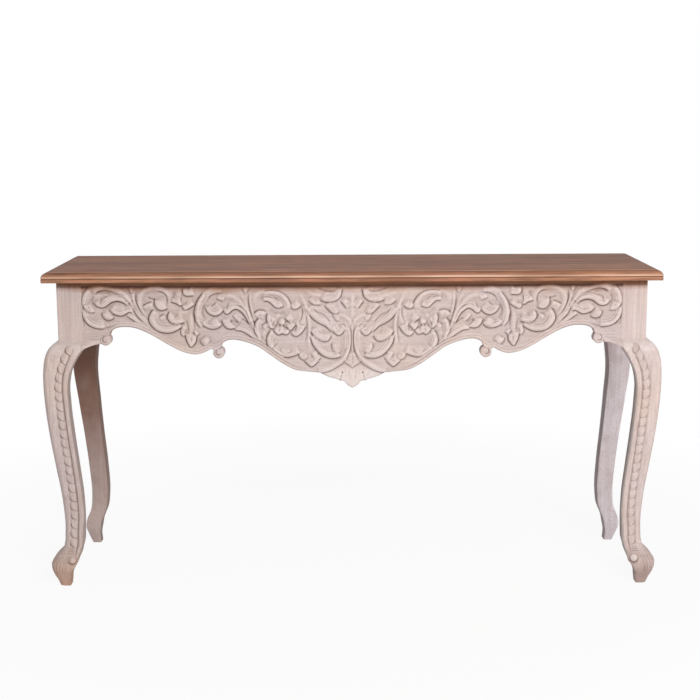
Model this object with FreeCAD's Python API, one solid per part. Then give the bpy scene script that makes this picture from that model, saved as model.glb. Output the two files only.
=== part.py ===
import FreeCAD, Part
import math
import os

# Pier table: a moulded plank top on a mortised frame with a shaped front apron and four cabriole legs.
# Millimetres, +Z up, front towards -Y, origin on the floor under the middle of the top.

# Overall sizes of the top and the table
TABLE_LENGTH = 1500.0
TABLE_DEPTH = 400.0
TABLE_HEIGHT = 790.0
TOP_THICKNESS = 25.0

# Moulded edge of the top: a small step, then a quarter round, then a small nose underneath
TOP_STEP = 1.5
STEP_INSET = 17.0
OVOLO_RADIUS = 15.0
NOSE_RADIUS = 6.0

# How far the top stands out past the leg posts
SIDE_OVERHANG = 30.0
FRONT_OVERHANG = 34.0
BACK_OVERHANG = 8.0

# Leg posts and the height at which the knees begin, below the top
POST_WIDTH = 60.0
BACK_POST_DEPTH = 54.0
POST_DROP = 147.0

# Cabriole legs: swell outside the post face and width across, at the knee, ankle and foot. A front foot
# also leans towards the front, by FOOT_FORWARD at the floor and by nothing at FOOT_HEIGHT.
KNEE_SWELL = 34.0
KNEE_WIDTH = 55.0
SHIN_SWELL = 15.0
SHIN_WIDTH = 49.5
ANKLE_SWELL = 0.0
ANKLE_WIDTH = 42.0
TOE_SWELL = 29.0
TOE_WIDTH = 58.0
PAD_SWELL = 16.0
PAD_WIDTH = 27.0
FOOT_HEIGHT = 110.0
FOOT_FORWARD = 9.0
LEG_OUTER_ROUND = 13.0
LEG_EDGE_ROUND = 4.5

# Scroll roll that each front leg ends in, lying across the diagonal of the foot, with a button at each end
ROLL_RADIUS = 24.0
ROLL_LENGTH = 42.0
ROLL_HEIGHT = 62.0
ROLL_BUTTON_RADIUS = 9.0
ROLL_SETBACK = 2.0

# Back legs: shaped along the length of the table only
BACK_KNEE_SWELL = 29.0
BACK_KNEE_WIDTH = 58.0
BACK_SHIN_SWELL = 8.0
BACK_SHIN_WIDTH = 47.0
BACK_ANKLE_SWELL = -6.5
BACK_ANKLE_WIDTH = 42.5
BACK_TOE_SWELL = 12.5
BACK_TOE_WIDTH = 39.5
BACK_PAD_SWELL = -3.0
BACK_PAD_WIDTH = 23.0
BACK_ANKLE_DEPTH = 46.0
BACK_PAD_DEPTH = 28.0

# Aprons, set a little behind the post faces, and their tenons
FRONT_APRON_THICKNESS = 26.0
SIDE_APRON_THICKNESS = 22.0
BACK_APRON_THICKNESS = 22.0
APRON_SETBACK = 1.0
BACK_APRON_DROP = 110.0
SIDE_ARCH_DROP = 112.0
TENON_LENGTH = 25.0
TENON_THICKNESS = 10.0
TENON_SHOULDER = 15.0
TENON_HEIGHT = 80.0
JOINT_GAP = 0.1

# Lower edge of the front apron, drawn from the middle outwards. Each point is how far along it lies, in
# percent of the way from the middle to the outer curl, and its drop below the top.
PENDANT_LEAVES = ((0.0, 267.0), (2.0, 260.0), (3.5, 250.0), (5.2, 248.5), (6.5, 244.5),
                  (10.0, 238.5), (13.3, 228.5))
INNER_ARCH = ((18.3, 225.5), (23.3, 221.0), (28.3, 205.5), (33.1, 185.0), (37.9, 164.5),
              (42.8, 152.0), (47.3, 145.5), (50.4, 146.5), (52.6, 153.0))
INNER_CURL = (54.2, 177.5)
INNER_CURL_RADIUS = 14.0
INNER_CURL_NOTCH = (57.3, 167.5)
OUTER_ARCH = ((60.1, 176.5), (63.7, 181.8), (68.6, 175.5), (73.4, 161.5), (78.2, 144.0),
              (83.2, 127.0), (87.9, 115.5), (92.0, 112.5), (95.5, 115.5), (97.7, 123.5))
OUTER_CURL = (100.0, 145.0)
OUTER_CURL_RADIUS = 14.5
CURL_BLOCK_GAP = 1.5
# Where a curl's rim starts and ends, in degrees from the outward side, going up and round
CURL_NECK_ANGLE = 115.0
INNER_CURL_END_ANGLE = 374.0

# Knee blocks glued under the aprons beside the legs
KNEE_BLOCK_LENGTH = 43.0
KNEE_BLOCK_HEIGHT = 26.0
KNEE_BLOCK_TIP = 9.0

# Top boards are edge-glued on dowels
TOP_BOARDS = ("top_board_front", "top_board_middle", "top_board_back")
DOWEL_RADIUS = 5.0
DOWEL_LENGTH = 40.0
DOWELS_PER_SEAM = 5
DOWEL_END_INSET = 110.0
DOWEL_GAP = 0.05

# Wood screws with round heads
SCREW_RADIUS = 2.0
SCREW_HEAD_RADIUS = 4.2
SCREW_HEAD_HEIGHT = 2.6
SCREW_POINT = 4.0
SCREW_SLOT_WIDTH = 1.1
SCREW_SLOT_DEPTH = 1.2
SCREW_BITE = 12.0
PILOT_GAP = 0.05
SCREW_CLEARANCE = 0.5
COUNTERBORE_CLEARANCE = 1.5

# Wooden buttons that hold the top down to the aprons
BUTTON_WIDTH = 28.0
BUTTON_LENGTH = 42.0
BUTTON_TONGUE = 8.0
BUTTON_TONGUE_HEIGHT = 8.0
BUTTON_TOP_GAP = 0.5
BUTTON_FACE_GAP = 0.3
BUTTON_SCREW_AT = 25.0
BUTTON_SPACING = 450.0
SLOT_DROP = 12.0
SLOT_SIDE_ROOM = 4.0
SLOT_ROOM = 1.0

# Cross bearers between the long aprons, stub-tenoned at both ends
BEARER_WIDTH = 30.0
BEARER_HEIGHT = 40.0
BEARER_SPACING = 500.0
STUB_LENGTH = 10.0
STUB_SHOULDER = 5.0
STUB_HEIGHT = 20.0
BEARER_SCREW_SEAT = 20.0

# Corner blocks behind the posts, screwed to both aprons
BLOCK_REACH = 58.0
BLOCK_HEIGHT = 60.0
BLOCK_DROP = 26.0
BLOCK_POST_GAP = 0.2
BLOCK_SCREW_SEAT = 13.0
BLOCK_SCREW_INSET = 15.0

# Planes worked out from the sizes above
TOP_UNDER = TABLE_HEIGHT - TOP_THICKNESS
POST_OUT_X = TABLE_LENGTH / 2 - SIDE_OVERHANG
POST_IN_X = POST_OUT_X - POST_WIDTH
POST_FRONT_Y = -TABLE_DEPTH / 2 + FRONT_OVERHANG
POST_FRONT_IN_Y = POST_FRONT_Y + POST_WIDTH
POST_BACK_Y = TABLE_DEPTH / 2 - BACK_OVERHANG
POST_BACK_IN_Y = POST_BACK_Y - BACK_POST_DEPTH
KNEE_TOP = TOP_UNDER - POST_DROP
FRONT_APRON_OUT_Y = POST_FRONT_Y + APRON_SETBACK
FRONT_APRON_IN_Y = FRONT_APRON_OUT_Y + FRONT_APRON_THICKNESS
BACK_APRON_OUT_Y = POST_BACK_Y - APRON_SETBACK
BACK_APRON_IN_Y = BACK_APRON_OUT_Y - BACK_APRON_THICKNESS
SIDE_APRON_OUT_X = POST_OUT_X - APRON_SETBACK
SIDE_APRON_IN_X = SIDE_APRON_OUT_X - SIDE_APRON_THICKNESS
SIDE_APRON_MID_Y = (POST_FRONT_IN_Y + POST_BACK_IN_Y) / 2
OUTER_CURL_X = POST_IN_X - KNEE_BLOCK_LENGTH - CURL_BLOCK_GAP - OUTER_CURL_RADIUS
BOARD_WIDTH = TABLE_DEPTH / len(TOP_BOARDS)
PILOT_RADIUS = SCREW_RADIUS + PILOT_GAP
BUTTON_UNDER = -SLOT_DROP - BUTTON_TONGUE_HEIGHT
BUTTON_SCREW_LENGTH = SCREW_BITE - BUTTON_UNDER
BEARER_SCREW_LENGTH = SCREW_BITE + BEARER_HEIGHT - BEARER_SCREW_SEAT
BLOCK_SCREW_LENGTH = SCREW_BITE + BLOCK_SCREW_SEAT

# Small helpers


def vec(x, y, z):
    return FreeCAD.Vector(x, y, z)


def block(x0, x1, y0, y1, z0, z1):
    return Part.makeBox(x1 - x0, y1 - y0, z1 - z0, vec(x0, y0, z0))


def rod(start, direction, radius, length):
    return Part.makeCylinder(radius, length, start, direction)


def cut_all(shape, tools):
    return shape.cut(tools) if tools else shape


def mirrored_x(shape):
    return shape.mirror(vec(0, 0, 0), vec(1, 0, 0))


def turned(shape, degrees, place):
    """A copy of a shape turned about its own Z axis and moved to a place."""
    copy = shape.copy()
    copy.rotate(vec(0, 0, 0), vec(0, 0, 1), degrees)
    copy.translate(place)
    return copy


def aimed(shape, direction, place):
    """A copy of a shape whose own +Z axis is turned along a direction and moved to a place."""
    copy = shape.copy()
    copy.Placement = FreeCAD.Placement(place, FreeCAD.Rotation(vec(0, 0, 1), direction))
    return copy


def curve_through(points):
    curve = Part.BSplineCurve()
    curve.interpolate(points)
    return curve.toShape()


def line_between(a, b):
    return Part.LineSegment(a, b).toShape()


def prism(edges, direction):
    return Part.Face(Part.Wire(Part.sortEdges(edges)[0])).extrude(direction)


def polygon_prism(points, direction):
    return Part.Face(Part.makePolygon(points + [points[0]])).extrude(direction)


def export(name, shape):
    shape.exportStep(os.path.join("parts", name + ".step"))


# Fasteners


def wood_screw(length):
    """Round-headed screw: the underside of its head is at the origin and its point is along +Z."""
    shank = rod(vec(0, 0, 0), vec(0, 0, 1), SCREW_RADIUS, length - SCREW_POINT)
    point = Part.makeCone(SCREW_RADIUS, 0, SCREW_POINT, vec(0, 0, length - SCREW_POINT))
    head = rod(vec(0, 0, -SCREW_HEAD_HEIGHT), vec(0, 0, 1), SCREW_HEAD_RADIUS, SCREW_HEAD_HEIGHT)
    rim = [e for e in head.Edges if e.BoundBox.ZMax < -SCREW_HEAD_HEIGHT / 2]
    head = head.makeFillet(SCREW_HEAD_HEIGHT * 0.6, rim)
    slot = block(-SCREW_HEAD_RADIUS, SCREW_HEAD_RADIUS, -SCREW_SLOT_WIDTH / 2, SCREW_SLOT_WIDTH / 2,
                 -SCREW_HEAD_HEIGHT, -SCREW_HEAD_HEIGHT + SCREW_SLOT_DEPTH)
    return head.cut(slot).fuse([shank, point]).removeSplitter()


# Buttons, bearers and corner blocks, with the places of their screws


def button_places():
    """Name, point on the apron's inner face at the top's underside, and turn of every button."""
    places = []
    for label, x in (("left", -BUTTON_SPACING), ("middle", 0.0), ("right", BUTTON_SPACING)):
        places.append(("front_button_" + label, vec(x, FRONT_APRON_IN_Y, TOP_UNDER), 0))
        places.append(("back_button_" + label, vec(x, BACK_APRON_IN_Y, TOP_UNDER), 180))
    places.append(("left_side_button", vec(-SIDE_APRON_IN_X, SIDE_APRON_MID_Y, TOP_UNDER), -90))
    places.append(("right_side_button", vec(SIDE_APRON_IN_X, SIDE_APRON_MID_Y, TOP_UNDER), 90))
    return places


def table_button():
    """Button with its tongue along -Y: the apron face is y = 0 and the top's underside z = 0."""
    half = BUTTON_WIDTH / 2
    body = block(-half, half, BUTTON_FACE_GAP, BUTTON_LENGTH, BUTTON_UNDER, -BUTTON_TOP_GAP)
    tongue = block(-half, half, -BUTTON_TONGUE, BUTTON_FACE_GAP, BUTTON_UNDER, -SLOT_DROP)
    hole = rod(vec(0, BUTTON_SCREW_AT, BUTTON_UNDER), vec(0, 0, 1), SCREW_RADIUS + SCREW_CLEARANCE,
               -BUTTON_UNDER)
    return body.fuse(tongue).removeSplitter().cut(hole)


def button_slot():
    """Slot in an apron for one button's tongue, in the button's own place."""
    half = BUTTON_WIDTH / 2 + SLOT_SIDE_ROOM
    return block(-half, half, -BUTTON_TONGUE - SLOT_ROOM, 0, BUTTON_UNDER - SLOT_ROOM, -SLOT_DROP)


def button_screw_seats():
    """Point under each button where its screw's head bears."""
    seats = []
    for name, place, turn in button_places():
        angle = math.radians(turn)
        reach = vec(-math.sin(angle), math.cos(angle), 0) * BUTTON_SCREW_AT
        seats.append(place + reach + vec(0, 0, BUTTON_UNDER))
    return seats


def bearer_places():
    return (("left_cross_bearer", -BEARER_SPACING / 2), ("right_cross_bearer", BEARER_SPACING / 2))


def bearer_screw_seats():
    """One screw into each top board, in the middle of the board's width over the bearer."""
    seats = []
    for name, x in bearer_places():
        for index in range(len(TOP_BOARDS)):
            low = max(-TABLE_DEPTH / 2 + index * BOARD_WIDTH, FRONT_APRON_IN_Y)
            high = min(-TABLE_DEPTH / 2 + (index + 1) * BOARD_WIDTH, BACK_APRON_IN_Y)
            seats.append(vec(x, (low + high) / 2, TOP_UNDER - BEARER_HEIGHT + BEARER_SCREW_SEAT))
    return seats


def bearer_stubs(x, gap):
    """Stub tenons of one bearer, front and back, or their mortises when a gap is given."""
    half = BEARER_WIDTH / 2 - STUB_SHOULDER + gap
    high = TOP_UNDER - (BEARER_HEIGHT - STUB_HEIGHT) / 2 + gap
    low = high - STUB_HEIGHT - 2 * gap
    reach = STUB_LENGTH + gap
    front = block(x - half, x + half, FRONT_APRON_IN_Y - reach, FRONT_APRON_IN_Y, low, high)
    back = block(x - half, x + half, BACK_APRON_IN_Y, BACK_APRON_IN_Y + reach, low, high)
    return front, back


def cross_bearer(x):
    half = BEARER_WIDTH / 2
    low = TOP_UNDER - BEARER_HEIGHT
    beam = block(x - half, x + half, FRONT_APRON_IN_Y, BACK_APRON_IN_Y, low, TOP_UNDER)
    beam = beam.fuse(list(bearer_stubs(x, 0.0))).removeSplitter()
    tools = []
    for seat in bearer_screw_seats():
        if abs(seat.x - x) < half:
            tools.append(rod(seat, vec(0, 0, 1), SCREW_RADIUS + SCREW_CLEARANCE, BEARER_HEIGHT))
            tools.append(rod(vec(seat.x, seat.y, low), vec(0, 0, 1),
                             SCREW_HEAD_RADIUS + COUNTERBORE_CLEARANCE, BEARER_SCREW_SEAT))
    return cut_all(beam, tools)


def corner_places():
    """Name, side along X, apron plane, post plane and inward direction along Y of every corner block."""
    corners = []
    for side, label in ((-1, "left"), (1, "right")):
        corners.append(("front_%s_corner_block" % label, side, FRONT_APRON_IN_Y, POST_FRONT_IN_Y, 1))
        corners.append(("back_%s_corner_block" % label, side, BACK_APRON_IN_Y, POST_BACK_IN_Y, -1))
    return corners


def corner_screws(side, apron_y, post_y, inward):
    """Seat and direction of the four screws of one corner block, two into each apron."""
    top = TOP_UNDER - BLOCK_DROP
    along_x = side * (POST_IN_X - BLOCK_REACH / 2)
    along_y = post_y + inward * BLOCK_REACH / 2
    screws = []
    for z in (top - BLOCK_SCREW_INSET, top - BLOCK_HEIGHT + BLOCK_SCREW_INSET):
        screws.append((vec(along_x, apron_y + inward * BLOCK_SCREW_SEAT, z), vec(0, -inward, 0)))
        screws.append((vec(side * (SIDE_APRON_IN_X - BLOCK_SCREW_SEAT), along_y, z), vec(side, 0, 0)))
    return screws


def all_corner_screws():
    screws = []
    for name, side, apron_y, post_y, inward in corner_places():
        screws.extend(corner_screws(side, apron_y, post_y, inward))
    return screws


def corner_block(side, apron_y, post_y, inward):
    """Block behind a post, notched round the post's inner corner, with counterbored screw holes."""
    low = TOP_UNDER - BLOCK_DROP - BLOCK_HEIGHT
    post_x = POST_IN_X - BLOCK_POST_GAP
    clear_y = post_y + inward * BLOCK_POST_GAP
    plan = ((SIDE_APRON_IN_X, clear_y), (post_x, clear_y), (post_x, apron_y),
            (POST_IN_X - BLOCK_REACH, apron_y), (SIDE_APRON_IN_X, post_y + inward * BLOCK_REACH))
    body = polygon_prism([vec(side * x, y, low) for x, y in plan], vec(0, 0, BLOCK_HEIGHT))
    tools = []
    for seat, direction in corner_screws(side, apron_y, post_y, inward):
        tools.append(rod(seat, direction, SCREW_RADIUS + SCREW_CLEARANCE, BLOCK_SCREW_SEAT))
        tools.append(rod(seat, direction * -1, SCREW_HEAD_RADIUS + COUNTERBORE_CLEARANCE, BLOCK_REACH))
    return cut_all(body, tools)


def pilot_holes(seats_and_directions, start, length):
    """Pilot holes that take the last stretch of screws, from a distance past their seats."""
    return [rod(seat + direction * start, direction, PILOT_RADIUS, length)
            for seat, direction in seats_and_directions]


# Top


def edges_at(shape, z, also_back):
    """Horizontal outer edges of the slab at a height: front and both ends, and the back if asked."""
    found = []
    for edge in shape.Edges:
        box = edge.BoundBox
        level = abs(box.ZMin - z) < 1e-6 and abs(box.ZMax - z) < 1e-6
        on_back = abs(box.YMin - TABLE_DEPTH / 2) < 1e-6
        if level and (also_back or not on_back):
            found.append(edge)
    return found


def moulded_top():
    """The whole top before it is parted into boards: moulded at the front and ends, square at the back."""
    half_x = TABLE_LENGTH / 2
    half_y = TABLE_DEPTH / 2
    shoulder = TABLE_HEIGHT - TOP_STEP
    slab = block(-half_x, half_x, -half_y, half_y, TOP_UNDER, shoulder)
    slab = slab.makeFillet(OVOLO_RADIUS, edges_at(slab, shoulder, False))
    slab = slab.makeFillet(NOSE_RADIUS, edges_at(slab, TOP_UNDER, False))
    raised = block(-half_x + STEP_INSET, half_x - STEP_INSET, -half_y + STEP_INSET, half_y,
                   shoulder, TABLE_HEIGHT)
    return slab.fuse(raised).removeSplitter()


def dowel_centres():
    """Middle point of every dowel, spread evenly along both seams."""
    run = TABLE_LENGTH - 2 * DOWEL_END_INSET
    step = run / (DOWELS_PER_SEAM - 1)
    z = TABLE_HEIGHT - TOP_THICKNESS / 2
    return [vec(-run / 2 + index * step, -TABLE_DEPTH / 2 + seam * BOARD_WIDTH, z)
            for seam in range(1, len(TOP_BOARDS)) for index in range(DOWELS_PER_SEAM)]


def dowel(centre, gap):
    half = DOWEL_LENGTH / 2 + gap
    return rod(centre - vec(0, half, 0), vec(0, 1, 0), DOWEL_RADIUS + gap, 2 * half)


def top_boards():
    whole = moulded_top()
    up = vec(0, 0, 1)
    tools = [dowel(centre, DOWEL_GAP) for centre in dowel_centres()]
    screws = [(seat, up, BUTTON_SCREW_LENGTH) for seat in button_screw_seats()]
    screws += [(seat, up, BEARER_SCREW_LENGTH) for seat in bearer_screw_seats()]
    for seat, direction, length in screws:
        tools += pilot_holes([(seat, direction)], length - SCREW_BITE, SCREW_BITE + PILOT_GAP)
    boards = []
    for index, name in enumerate(TOP_BOARDS):
        low = -TABLE_DEPTH / 2 + index * BOARD_WIDTH
        slice_box = block(-TABLE_LENGTH, TABLE_LENGTH, low, low + BOARD_WIDTH, 0, 2 * TABLE_HEIGHT)
        boards.append((name, cut_all(whole.common(slice_box), tools)))
    return boards


# Aprons


def tenon_top():
    return TOP_UNDER - TENON_SHOULDER


def long_tenon(mid_y, gap):
    """Tenon of a long apron on its right-hand end, or its mortise when a gap is given."""
    half = TENON_THICKNESS / 2 + gap
    return block(POST_IN_X, POST_IN_X + TENON_LENGTH + gap, mid_y - half, mid_y + half,
                 tenon_top() - TENON_HEIGHT - gap, tenon_top() + gap)


def side_tenons(gap):
    """Front and back tenons of the right-hand side apron, or their mortises when a gap is given."""
    mid_x = (SIDE_APRON_OUT_X + SIDE_APRON_IN_X) / 2
    half = TENON_THICKNESS / 2 + gap
    low = tenon_top() - TENON_HEIGHT - gap
    high = tenon_top() + gap
    reach = TENON_LENGTH + gap
    front = block(mid_x - half, mid_x + half, POST_FRONT_IN_Y - reach, POST_FRONT_IN_Y, low, high)
    back = block(mid_x - half, mid_x + half, POST_BACK_IN_Y, POST_BACK_IN_Y + reach, low, high)
    return front, back


FRONT_TENON_Y = (FRONT_APRON_OUT_Y + FRONT_APRON_IN_Y) / 2
BACK_TENON_Y = (BACK_APRON_OUT_Y + BACK_APRON_IN_Y) / 2


def apron_point(drawn, side, y):
    """A point of the drawn lower edge, stretched to the board and put on its left or right half."""
    along = drawn[0] / OUTER_CURL[0] * OUTER_CURL_X
    return vec(side * along, y, TOP_UNDER - drawn[1])


def on_curl(centre, radius, degrees, side):
    """A point on a curl's rim: 0 degrees points away from the middle, 90 up."""
    angle = math.radians(degrees)
    return centre + vec(side * radius * math.cos(angle), 0, radius * math.sin(angle))


def curl_edge(centre, radius, start, end, side):
    """Rim of a curl from its neck round underneath to its outer side."""
    points = [on_curl(centre, radius, a, side) for a in (start, (start + end) / 2, end)]
    return Part.Arc(*points).toShape()


def apron_lower_edge(side, y):
    """Edges of the shaped lower edge on one half, from the pendant's tip to the post."""
    leaves = [apron_point(p, side, y) for p in PENDANT_LEAVES]
    edges = [Part.Arc(*leaves[i:i + 3]).toShape() for i in (0, 2, 4)]
    inner = apron_point(INNER_CURL, side, y)
    outer = apron_point(OUTER_CURL, side, y)
    inner_neck = on_curl(inner, INNER_CURL_RADIUS, CURL_NECK_ANGLE, side)
    inner_end = on_curl(inner, INNER_CURL_RADIUS, INNER_CURL_END_ANGLE, side)
    outer_neck = on_curl(outer, OUTER_CURL_RADIUS, CURL_NECK_ANGLE, side)
    end_drop = (POST_DROP - OUTER_CURL[1]) / OUTER_CURL_RADIUS
    outer_end_angle = math.degrees(2 * math.pi - math.asin(end_drop))
    outer_end = on_curl(outer, OUTER_CURL_RADIUS, outer_end_angle, side)
    notch = apron_point(INNER_CURL_NOTCH, side, y)
    edges.append(curve_through([leaves[-1]] + [apron_point(p, side, y) for p in INNER_ARCH] + [inner_neck]))
    edges.append(curl_edge(inner, INNER_CURL_RADIUS, CURL_NECK_ANGLE, INNER_CURL_END_ANGLE, side))
    edges.append(line_between(inner_end, notch))
    edges.append(curve_through([notch] + [apron_point(p, side, y) for p in OUTER_ARCH] + [outer_neck]))
    edges.append(curl_edge(outer, OUTER_CURL_RADIUS, CURL_NECK_ANGLE, outer_end_angle, side))
    edges.append(line_between(outer_end, vec(side * POST_IN_X, y, KNEE_TOP)))
    return edges


def front_apron():
    y = FRONT_APRON_OUT_Y
    edges = apron_lower_edge(-1, y) + apron_lower_edge(1, y)
    corners = [vec(-POST_IN_X, y, KNEE_TOP), vec(-POST_IN_X, y, TOP_UNDER),
               vec(POST_IN_X, y, TOP_UNDER), vec(POST_IN_X, y, KNEE_TOP)]
    edges += [line_between(a, b) for a, b in zip(corners, corners[1:])]
    board = prism(edges, vec(0, FRONT_APRON_THICKNESS, 0))
    tenon = long_tenon(FRONT_TENON_Y, 0.0)
    board = board.fuse([tenon, mirrored_x(tenon)]).removeSplitter()
    tools = [turned(button_slot(), turn, place) for name, place, turn in button_places()
             if name.startswith("front")]
    tools += [bearer_stubs(x, JOINT_GAP)[0] for name, x in bearer_places()]
    tools += pilot_holes([s for s in all_corner_screws() if s[1].y < -0.5], BLOCK_SCREW_SEAT, SCREW_BITE)
    return cut_all(board, tools)


def back_apron():
    board = block(-POST_IN_X, POST_IN_X, BACK_APRON_IN_Y, BACK_APRON_OUT_Y,
                  TOP_UNDER - BACK_APRON_DROP, TOP_UNDER)
    tenon = long_tenon(BACK_TENON_Y, 0.0)
    board = board.fuse([tenon, mirrored_x(tenon)]).removeSplitter()
    tools = [turned(button_slot(), turn, place) for name, place, turn in button_places()
             if name.startswith("back")]
    tools += [bearer_stubs(x, JOINT_GAP)[1] for name, x in bearer_places()]
    tools += pilot_holes([s for s in all_corner_screws() if s[1].y > 0.5], BLOCK_SCREW_SEAT, SCREW_BITE)
    return cut_all(board, tools)


def side_apron():
    """Right-hand side apron: its lower edge rises in an arch between the knee blocks."""
    x = SIDE_APRON_IN_X
    arch = TOP_UNDER - SIDE_ARCH_DROP
    front_end = POST_FRONT_IN_Y + KNEE_BLOCK_LENGTH
    back_end = POST_BACK_IN_Y - KNEE_BLOCK_LENGTH
    outline = [vec(x, front_end, KNEE_TOP), vec(x, POST_FRONT_IN_Y, KNEE_TOP),
               vec(x, POST_FRONT_IN_Y, TOP_UNDER), vec(x, POST_BACK_IN_Y, TOP_UNDER),
               vec(x, POST_BACK_IN_Y, KNEE_TOP), vec(x, back_end, KNEE_TOP)]
    edges = [line_between(a, b) for a, b in zip(outline, outline[1:])]
    quarter = (back_end - front_end) / 4
    rise = (arch - KNEE_TOP) * 0.72
    edges.append(curve_through([vec(x, back_end, KNEE_TOP), vec(x, back_end - quarter, KNEE_TOP + rise),
                                vec(x, SIDE_APRON_MID_Y, arch),
                                vec(x, front_end + quarter, KNEE_TOP + rise), vec(x, front_end, KNEE_TOP)]))
    board = prism(edges, vec(SIDE_APRON_THICKNESS, 0, 0))
    board = board.fuse(list(side_tenons(0.0))).removeSplitter()
    tools = [turned(button_slot(), turn, place) for name, place, turn in button_places()
             if name == "right_side_button"]
    tools += pilot_holes([s for s in all_corner_screws() if s[1].x > 0.5], BLOCK_SCREW_SEAT, SCREW_BITE)
    return cut_all(board, tools)


# Knee blocks


def knee_block(start, outward, thickness):
    """Block beside a leg under an apron: start is its top corner at the leg, outward runs along the apron."""
    tip = start + outward * KNEE_BLOCK_LENGTH
    foot = start - vec(0, 0, KNEE_BLOCK_HEIGHT)
    toe = tip - vec(0, 0, KNEE_BLOCK_TIP)
    middle = (start + tip) / 2 - vec(0, 0, KNEE_BLOCK_TIP + (KNEE_BLOCK_HEIGHT - KNEE_BLOCK_TIP) * 0.22)
    edges = [line_between(foot, start), line_between(start, tip), line_between(tip, toe),
             Part.Arc(toe, middle, foot).toShape()]
    return prism(edges, thickness)


def right_knee_blocks():
    front = knee_block(vec(POST_IN_X, FRONT_APRON_OUT_Y, KNEE_TOP), vec(-1, 0, 0),
                       vec(0, FRONT_APRON_THICKNESS, 0))
    side_front = knee_block(vec(SIDE_APRON_IN_X, POST_FRONT_IN_Y, KNEE_TOP), vec(0, 1, 0),
                            vec(SIDE_APRON_THICKNESS, 0, 0))
    side_back = knee_block(vec(SIDE_APRON_IN_X, POST_BACK_IN_Y, KNEE_TOP), vec(0, -1, 0),
                           vec(SIDE_APRON_THICKNESS, 0, 0))
    return (("front_%s_knee_block", front), ("side_front_%s_knee_block", side_front),
            ("side_back_%s_knee_block", side_back))


# Legs


def rounded_section(x_out, x_in, y_a, y_b, z, outer_round, edge_round):
    """Closed four-sided outline at a height, with the corner at x_out and y_a rounded more than the rest."""
    corners = [vec(x_out, y_a, z), vec(x_out, y_b, z), vec(x_in, y_b, z), vec(x_in, y_a, z)]
    rounds = [outer_round, edge_round, edge_round, edge_round]
    arcs = []
    for index, corner in enumerate(corners):
        before = (corner - corners[index - 1]).normalize()
        after = (corners[(index + 1) % 4] - corner).normalize()
        radius = rounds[index]
        start = corner - before * radius
        end = corner + after * radius
        centre = start + after * radius
        middle = centre + (corner - centre).normalize() * radius
        arcs.append((start, middle, end))
    edges = []
    for index, (start, middle, end) in enumerate(arcs):
        edges.append(Part.Arc(start, middle, end).toShape())
        edges.append(line_between(end, arcs[(index + 1) % 4][0]))
    return Part.Wire(edges)


def leg_stations():
    """Height, swell and width down a front leg, from the shoulder under the post to the pad on the floor."""
    shoulder = KNEE_TOP - KNEE_BLOCK_HEIGHT
    shank = shoulder - FOOT_HEIGHT
    knee_top_width = POST_WIDTH - 1.0
    return ((KNEE_TOP, 0.0, knee_top_width),
            (KNEE_TOP - 0.25 * KNEE_BLOCK_HEIGHT, 0.36 * KNEE_SWELL, knee_top_width + 0.36 * KNEE_SWELL),
            (KNEE_TOP - 0.7 * KNEE_BLOCK_HEIGHT, 0.66 * KNEE_SWELL, knee_top_width + 0.66 * KNEE_SWELL),
            (shoulder - 0.025 * shank, 0.86 * KNEE_SWELL, KNEE_WIDTH + 20.0),
            (shoulder - 0.085 * shank, 0.97 * KNEE_SWELL, KNEE_WIDTH + 8.0),
            (shoulder - 0.16 * shank, KNEE_SWELL, KNEE_WIDTH + 1.0),
            (shoulder - 0.27 * shank, 0.94 * KNEE_SWELL, KNEE_WIDTH - 1.0),
            (shoulder - 0.42 * shank, 0.45 * SHIN_SWELL + 0.55 * KNEE_SWELL, (KNEE_WIDTH + SHIN_WIDTH) / 2),
            (shoulder - 0.6 * shank, SHIN_SWELL, SHIN_WIDTH),
            (shoulder - 0.78 * shank, 0.28 * SHIN_SWELL + 0.72 * ANKLE_SWELL, (SHIN_WIDTH + ANKLE_WIDTH) / 2),
            (shoulder - 0.92 * shank, ANKLE_SWELL, ANKLE_WIDTH),
            (FOOT_HEIGHT, ANKLE_SWELL + 2.0, ANKLE_WIDTH - 1.0),
            (0.8 * FOOT_HEIGHT, 0.35 * TOE_SWELL, ANKLE_WIDTH + 2.0),
            (0.62 * FOOT_HEIGHT, 0.78 * TOE_SWELL, TOE_WIDTH - 4.0),
            (0.46 * FOOT_HEIGHT, TOE_SWELL, TOE_WIDTH),
            (0.3 * FOOT_HEIGHT, 0.97 * TOE_SWELL, TOE_WIDTH - 7.0),
            (0.14 * FOOT_HEIGHT, 0.5 * (TOE_SWELL + PAD_SWELL), 0.5 * (TOE_WIDTH + PAD_WIDTH) - 2.0),
            (0.0, PAD_SWELL, PAD_WIDTH))


def foot_lean(z):
    return FOOT_FORWARD * max(0.0, 1.0 - z / FOOT_HEIGHT)


def scroll_roll():
    """Roll across the diagonal of the right-hand front foot, with a domed button at each end."""
    across = vec(1, 1, 0).normalize()
    centre = vec(POST_OUT_X - ROLL_SETBACK, POST_FRONT_Y + ROLL_SETBACK - foot_lean(ROLL_HEIGHT), ROLL_HEIGHT)
    roll = rod(centre - across * (ROLL_LENGTH / 2), across, ROLL_RADIUS, ROLL_LENGTH)
    roll = roll.makeFillet(ROLL_RADIUS * 0.3, [e for e in roll.Edges if e.Closed])
    ends = [Part.makeSphere(ROLL_BUTTON_RADIUS, centre + across * (sign * ROLL_LENGTH / 2))
            for sign in (-1, 1)]
    return roll.fuse(ends)


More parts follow.
